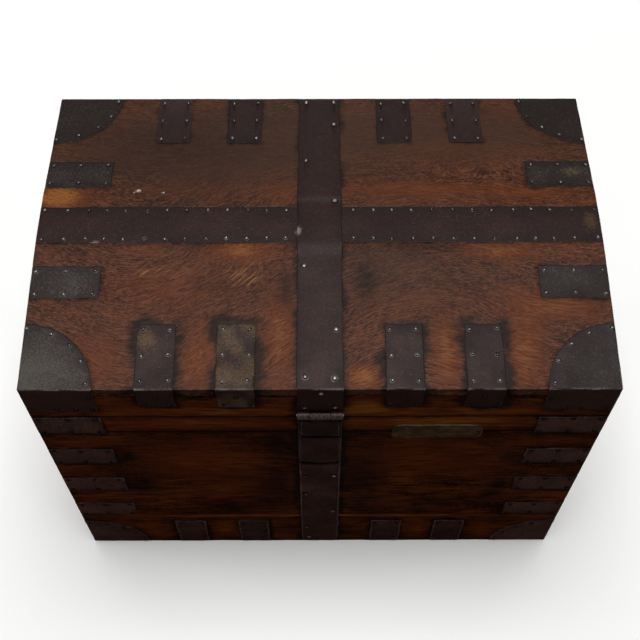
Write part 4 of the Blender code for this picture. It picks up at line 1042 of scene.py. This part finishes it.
# Irons of the lid, and how rusty or rubbed those are that differ from the rest. How much each is rubbed is
# partly wear and partly painted sheen of the light it catches
RUSTY = {"lid_front_bracket_inner_left": 0.45, "lid_front_bracket_outer_left": 0.26}
RUB_AND_SHEEN = {
    "lid_front_bracket_outer_right": 0.7,
    "lid_front_bracket_inner_right": 0.6,
    "lid_end_bracket_front_right": 0.5,
    "lid_corner_front_left": 1.25,
    "lid_corner_front_right": 0.15,
    "lid_corner_back_left": 0.4,
    "lid_corner_back_right": 0.2,
}
for k, (word, sx) in enumerate(SIDES):
    for j, (row, across) in enumerate((("outer", BRACKET_OUTER), ("inner", BRACKET_INNER))):
        node = f"lid_front_bracket_{row}_{word}"
        wear_and_light = dict(TOP_WEAR, rust=RUSTY.get(node, 0.0), rub=RUB_AND_SHEEN.get(node, 0.9))
        bracket(node, LID_STRAP, lid_route(-DEPTH / 2), "YZ", sx * across, 100 + 10 * k + j, wear_and_light)
    bracket(f"lid_back_bracket_{word}", LID_STRAP, lid_route(DEPTH / 2), "YZ", sx * BRACKET_INNER, 130 + k)
    for j, (row, sy) in enumerate(ENDS):
        node = f"lid_end_bracket_{row}_{word}"
        wear_and_light = dict(TOP_WEAR, rub=RUB_AND_SHEEN.get(node, 1.0))
        bracket(node, LID_CORNER, lid_route(sx * WIDTH / 2), "XZ", sy * END_BRACKET, 140 + 10 * k + j, wear_and_light)
        node = f"lid_corner_{row}_{word}"
        corner = np.array([sx * WIDTH / 2, sy * DEPTH / 2, EDGE_HEIGHT])
        along, inward = np.array([-sx, 0.0, 0.0]), np.array([0.0, -sy, 0.0])
        drop, seed = EDGE_HEIGHT - CORNER_FOOT, 160 + 10 * k + j
        patches = [
            quarter_patch(corner, along, inward, CORNER_RADIUS, seed, dict(TOP_WEAR, rub=RUB_AND_SHEEN[node])),
            flange_patch(corner, along, CORNER_RADIUS, drop, seed + 3),
            flange_patch(corner, inward, CORNER_RADIUS, drop, seed + 5),
        ]
        iron(node, patches, *LID_CORNER)
    eased_copy(f"lid_hinge_leaf_{word}", "lid", strap_iron)
    eased_copy(f"hinge_leaf_{word}", "body", side_iron)
    eased_copy(f"handle_plate_{word}", "body", side_iron)
    eased_copy(f"bail_{word}", f"handle_{word}", side_iron, 0.0003)
CROSS_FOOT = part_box("lid_cross_strap")[0][2]
route = [(-WIDTH / 2, CROSS_FOOT), (-WIDTH / 2, EDGE_HEIGHT)]
route += [(WIDTH / 2, EDGE_HEIGHT), (WIDTH / 2, CROSS_FOOT)]
iron("lid_cross_strap", [strip_patch(route, "XZ", -STRAP / 2, STRAP / 2, 181)], *LID_STRAP)
route = [(-DEPTH / 2, STRAP_END), (-DEPTH / 2, EDGE_HEIGHT)]
route += [(DEPTH / 2, EDGE_HEIGHT), (DEPTH / 2, CORNER_FOOT)]
patches = [strip_patch(route, "YZ", -STRAP / 2, STRAP / 2, 182)]
tongue = [(-DEPTH / 2, HASP_Z), (-DEPTH / 2, STRAP_END + EDGE_SOFT)]
for low, high in ((-STRAP / 2, -HASP_MOUTH), (HASP_MOUTH, STRAP / 2)):
    patches += [strip_patch(tongue, "YZ", low, high, 184), barrel(low, high)]
iron("lid_centre_strap", patches, "lid", "strap_iron", strap_iron, over_cross)

# Irons of the body. The lock plate and the flap of the hasp lie in the boxes of their solids
PLATE_LOW, PLATE_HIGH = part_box("lock_plate")
FLAP_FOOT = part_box("hasp")[0][2]
FLAP_FRONT = PLATE_LOW[1] - SWING_GAP - FLAP_IRON
FLAP_BACK = FLAP_FRONT + FLAP_IRON


def plate_foot(x):
    """Height of the lock plate's bowed foot."""
    return PLATE_LOW[2] + PLATE_SAG * (x / PLATE_HIGH[0]) ** 2


def flap_foot(x):
    """Height of the flap's straight foot."""
    return FLAP_FOOT + 0 * x


route = [(-DEPTH / 2, BODY_IRON_TOP), (-DEPTH / 2, 0.0), (DEPTH / 2, 0.0), (DEPTH / 2, BODY_IRON_TOP)]
# The body strap gets a painted shadow under the lock plate's bowed foot
patch = shadow_under(strip_patch(route, "YZ", -STRAP / 2, STRAP / 2, 201, CLIP_WEAR), plate_foot, STRAP_SHADOW)
strap = iron("body_strap", [patch], *BODY_STRAP)
cut_keyhole(strap)
cut_keyhole(front_upper)
for k, (word, sx) in enumerate(SIDES):
    for end, sy in ENDS:
        # Only the straps and clips on the front stand for nodes
        own, straps, clips = None, "corner_strap", "base_clip"
        if end == "back":
            own, straps, clips = (), "back_corner_strap", "back_clip"
        x, y, seed = sx * WIDTH / 2, sy * DEPTH / 2, 20 * k + 5 * sy
        route = [(x - sx * LEG, y), (x, y), (x, y - sy * LEG)]
        for row in range(4):
            centre = BODY_IRON_TOP - row * STRAP_PITCH - BRACKET / 2
            name = f"{straps}_{word}_{row + 1}"
            bracket(name, BODY_CORNER, route, "XY", centre, 210 + seed + row, SIDE_WEAR, own)
        for j, (row, across) in enumerate((("outer", BRACKET_OUTER), ("inner", BRACKET_INNER))):
            name = f"{clips}_{row}_{word}"
            bracket(name, BODY_STRAP, clip_route(y), "YZ", sx * across, 260 + seed + j, CLIP_WEAR, own)
        corner = np.array([x, y, 0.0])
        ways = [np.array([-sx, 0.0, 0.0]), np.array([0.0, -sy, 0.0]), np.array([0.0, 0.0, 1.0])]
        patches = [
            quarter_patch(corner, ways[a], ways[b], BOOT_RADIUS, 300 + seed + a, SIDE_WEAR)
            for a, b in ((0, 1), (0, 2), (1, 2))
        ]
        iron(f"boot_{end}_{word}", patches, *BODY_CORNER)
        name = f"end_clip_{end}_{word}"
        bracket(name, BODY_STRAP, clip_route(x), "XZ", sy * END_BRACKET, 340 + seed, SIDE_WEAR, ())
patch = hung_plate(PLATE_HIGH[0], PLATE_HIGH[2], PLATE_LOW[2], PLATE_SAG, PLATE_CORNER, PLATE_HIGH[1],
                   PLATE_LOW[1], 381)
# The lock plate gets a painted shadow under the flap's foot
patch = shadow_under(patch, flap_foot, PLATE_SHADOW)
cut_keyhole(iron("lock_plate_forged", [patch], *BODY_STRAP, stands_for=("lock_plate",)))
shoulder = HASP_Z - BARREL - SWING_GAP
patches = [
    hung_plate(FLAP_HALF, shoulder, FLAP_FOOT, 0.0, FLAP_CORNER, FLAP_BACK, FLAP_FRONT, 383),
    hung_plate(FLAP_KNUCKLE, HASP_Z, shoulder - EDGE_SOFT, 0.0, EDGE_SOFT, FLAP_BACK, FLAP_FRONT, 384),
    barrel(-FLAP_KNUCKLE, FLAP_KNUCKLE),
]
iron("hasp_forged", patches, "hasp", "strap_iron", side_iron, stands_for=("hasp",))
for node in ("hinge_pin_left", "hinge_pin_right", "hasp_pin", "lock_case", "lock_bolt", "link_plate"):
    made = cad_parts[node]
    made.data.materials.clear()
    made.data.materials.append(lock_iron)

# Nails of the lid, each a place and the way it faces. Insets from edges and heights over feet are in metres,
# and those along the cross strap in millimetres
PAIR = (-0.017, 0.017)
CORNER_NAILS = ((0.005, 0.0865), (0.035, 0.078), (0.060, 0.062), (0.077, 0.039), (0.086, 0.009))
FLANGE_NAILS = ((0.008, 0.053), (0.040, 0.053), (0.064, 0.053), (0.086, 0.053), (0.086, 0.024))
CROSS_NAILS = (6, 38, 66, 91, 116, 146, 173, 200, 228, 255, 282, 308, 334)
FOOT_NAIL, FOOT_NAIL_HIGH, END_FOOT_NAIL = 0.007, 0.027, 0.008
placed = []
for _, sx in SIDES:
    for _, sy in ENDS:
        edge_x, edge_y, out_x, out_y = sx * WIDTH / 2, sy * DEPTH / 2, (sx, 0, 0), (0, sy, 0)
        placed += [on_top(sx * (WIDTH / 2 - u), sy * (DEPTH / 2 - v)) for u, v in CORNER_NAILS]
        for u, drop in FLANGE_NAILS:
            y = sy * (DEPTH / 2 - u)
            placed.append(((sx * (WIDTH / 2 - u), edge_y, EDGE_HEIGHT - drop), out_y))
            placed.append(((edge_x, y, EDGE_HEIGHT + float(crown(y)) - drop), out_x))
        for centre in (sx * BRACKET_OUTER, sx * BRACKET_INNER):
            for side in PAIR:
                placed += [on_top(centre + side, sy * (DEPTH / 2 - inset)) for inset in (0.084, 0.048, 0.012)]
                placed.append(((centre + side, edge_y, BRACKET_FOOT + FOOT_NAIL), out_y))
            placed.append(((centre, edge_y, BRACKET_FOOT + FOOT_NAIL_HIGH), out_y))
        for side in PAIR:
            y = sy * END_BRACKET + side
            placed += [on_top(sx * (WIDTH / 2 - inset), y) for inset in (0.007, 0.046, 0.084)]
            placed.append(((edge_x, y, BRACKET_FOOT + float(crown(y)) + END_FOOT_NAIL), out_x))
    placed += [on_top(sx * (WIDTH / 2 - mm / 1000), y) for mm in CROSS_NAILS for y in (-0.0235, 0.0235)]
    for y in (-0.022, 0.022):
        placed.append(((edge_x, y, CROSS_FOOT + float(crown(y)) + END_FOOT_NAIL), out_x))
nails("lid_nails", placed, 0.0025, 0.0016, "lid", 401, 0.36)

# Studs of the lid's centre strap, by x and y on its top, by x and z on its ends. The front ones get the
# strongest painted highlight
TOP_STUDS = ((-0.019, 0.233), (0.021, 0.233), (0.021, 0.187), (-0.019, 0.114), (0.021, 0.036),
             (-0.021, -0.066), (0.020, -0.160), (-0.019, -0.226), (0.018, -0.227))
FRONT_STUDS = ((0.0, 0.5375), (-0.019, 0.4985), (0.019, 0.4985))
BACK_STUDS = ((-0.019, 0.530), (0.019, 0.530), (0.0, 0.497))
placed = [on_top(x, y, float(cross_step(y))) for x, y in TOP_STUDS]
placed += [((x, -DEPTH / 2, z), (0, -1, 0)) for x, z in FRONT_STUDS]
placed += [((x, DEPTH / 2, z), (0, 1, 0)) for x, z in BACK_STUDS]
bare_and_highlight = [0.55] * len(TOP_STUDS) + [4.0] * len(FRONT_STUDS) + [0.55] * len(BACK_STUDS)
nails("strap_studs_lid", placed, 0.0036, 0.0022, "lid", 402, bare_and_highlight)

# Nails of the body
CLIP_NAILS = (0.085, 0.047, 0.012)
STRAP_TOPS = [BODY_IRON_TOP - row * STRAP_PITCH for row in range(4)]
STRAP_NAILS = [(inset, z) for high in STRAP_TOPS for z in (high - FOOT_NAIL, high - BRACKET + FOOT_NAIL)
               for inset in (0.084, 0.046, 0.009)]
placed = []
for _, sx in SIDES:
    for _, sy in ENDS:
        edge_x, edge_y, out_x, out_y = sx * WIDTH / 2, sy * DEPTH / 2, (sx, 0, 0), (0, sy, 0)
        for inset, z in STRAP_NAILS:
            placed.append(((sx * (WIDTH / 2 - inset), edge_y, z), out_y))
            placed.append(((edge_x, sy * (DEPTH / 2 - inset), z), out_x))
        for centre in (sx * BRACKET_OUTER, sx * BRACKET_INNER):
            placed += [((centre + side, edge_y, z), out_y) for side in PAIR for z in CLIP_NAILS]
        placed += [((edge_x, sy * END_BRACKET + side, z), out_x) for side in PAIR for z in CLIP_NAILS]
        for inset, z in CORNER_NAILS:
            placed.append(((sx * (WIDTH / 2 - inset), edge_y, z), out_y))
            placed.append(((edge_x, sy * (DEPTH / 2 - inset), z), out_x))
    placed += [((sx * BRACKET_OUTER + side, DEPTH / 2, z), (0, 1, 0)) for side in PAIR for z in (0.387, 0.420)]
    placed += [((edge_x, y, HANDLE_HEIGHT + side), out_x) for y in (-0.088, 0.088) for side in PAIR]
nails("body_nails", placed, 0.0031, 0.0017, "body", 403)
BODY_STUDS = ((-0.021, 0.277), (0.020, 0.277), (-0.021, 0.209), (0.020, 0.138), (-0.020, 0.067),
              (-0.018, 0.022))
BACK_ONLY = ((0.020, 0.400), (-0.020, 0.445))
placed = [((x, -DEPTH / 2, z), (0, -1, 0)) for x, z in BODY_STUDS]
placed += [((x, DEPTH / 2, z), (0, 1, 0)) for x, z in BODY_STUDS + BACK_ONLY]
# Studs of the body strap get a strong painted highlight
nails("strap_studs_body", placed, 0.0038, 0.0022, "body", 404, 3.0)

# Name plate, left bare: a superellipse drawn in rings from its middle, with a soft rim
NAME_X, NAME_Z, NAME_HALF, NAME_RISE, NAME_THICK = 0.158, 0.4255, 0.0612, 0.0195, 0.0014
PIN_ACROSS, PIN_UP = 0.056, 0.0165
turn = np.linspace(0, 2 * np.pi, 97)
ways = np.stack([np.cos(turn), np.sin(turn)], -1)
oval = np.sign(ways) * np.abs(ways) ** (2 / 9) * (NAME_HALF, NAME_RISE)
rings = np.array([0.0, 0.3, 0.6, 0.85, 0.96, 0.985, 1.0, 1.0, 0.0])[:, None]
depth = NAME_THICK * np.array([1.0, 1.0, 1.0, 1.0, 0.98, 0.85, 0.4, -0.3, -0.3])[:, None]
grid = np.stack([NAME_X + rings * oval[:, 0], -WOOD_Y - depth + 0 * turn, NAME_Z + rings * oval[:, 1]], -1)
quads = grid_quads(*grid.shape[:2], 0)
points, tris, values = weld(grid.reshape(-1, 3), quads, np.zeros((grid[..., 0].size, 4)))
piece("name_plate", points, tris, values, "body", plate_brass)
placed = [((NAME_X + across, -WOOD_Y - NAME_THICK, NAME_Z + up), (0, -1, 0))
          for across, up in ((0, PIN_UP), (0, -PIN_UP), (-PIN_ACROSS, 0), (PIN_ACROSS, 0))]
nails("name_plate_pins", placed, 0.0018, 0.0010, "body", 405)

# Floor, light and camera. A lamp has its place, its target, its size in metres and its power in watts
FLOOR_HALF, FLOOR_DROP = 4, -0.0004
LAMPS = {
    "light_above": ((0.0, 0.0, 12.0), (0.0, 0.0, 0.3), 7.5, 1500),
    "light_left": ((-3.2, 0.2, 0.42), (0.0, 0.0, 0.42), 0.8, 36),
    "light_right": ((3.2, 0.2, 0.42), (0.0, 0.0, 0.42), 0.8, 28),
    "light_back": ((0.0, 3.4, 0.42), (0.0, 0.0, 0.42), 0.8, 32),
}
scene = bpy.context.scene
mesh = bpy.data.meshes.new("floor")
ground = [(FLOOR_HALF * sx, FLOOR_HALF * sy, FLOOR_DROP) for sx, sy in ((-1, -1), (1, -1), (1, 1), (-1, 1))]
mesh.from_pydata(ground, [], [(0, 1, 2, 3)])
mesh.materials.append(studio_floor("matt_white_paint"))
floor = bpy.data.objects.new("floor", mesh)
scene.collection.objects.link(floor)
floor.visible_glossy = False

world = bpy.data.worlds.new("studio")
world.use_nodes = True
world.node_tree.nodes["Background"].inputs["Color"].default_value = (1.0, 1.0, 1.0, 1.0)
world.node_tree.nodes["Background"].inputs["Strength"].default_value = 1.0
scene.world = world
world.cycles_visibility.diffuse = False
world.cycles_visibility.glossy = False

for name, (place, target, size, power) in LAMPS.items():
    lamp = bpy.data.lights.new(name, "AREA")
    lamp.size, lamp.energy = size, power
    softbox = bpy.data.objects.new(name, lamp)
    softbox.location = place
    softbox.rotation_euler = (Vector(target) - softbox.location).to_track_quat("-Z", "Y").to_euler()
    softbox.visible_camera = False
    scene.collection.objects.link(softbox)

# The camera's place in metres, its turns, its focal length and how far its picture is moved up, in pixels
EYE = (-0.0041, -0.8697, 1.7336)
YAW, PITCH, ROLL = math.radians(0.337), math.radians(60.069), math.radians(-0.172)
FOCAL, MOVED_UP, PIXELS, SENSOR = 1073.6, 30, 640, 36.0
forward = np.array([math.sin(YAW) * math.cos(PITCH), math.cos(YAW) * math.cos(PITCH), -math.sin(PITCH)])
level = np.array([math.cos(YAW), -math.sin(YAW), 0.0])
steep = np.cross(forward, level)
right = math.cos(ROLL) * level + math.sin(ROLL) * steep
down = -math.sin(ROLL) * level + math.cos(ROLL) * steep
lens = bpy.data.cameras.new("camera")
lens.sensor_fit, lens.sensor_width = "HORIZONTAL", SENSOR
lens.lens = SENSOR * FOCAL / PIXELS
lens.shift_y = MOVED_UP / PIXELS
camera = bpy.data.objects.new("camera", lens)
turned = np.eye(4)
turned[:3, 0], turned[:3, 1], turned[:3, 2], turned[:3, 3] = right, -down, -forward, EYE
camera.matrix_world = turned.T.tolist()
scene.collection.objects.link(camera)
scene.camera = camera
scene.view_settings.view_transform = "Standard"
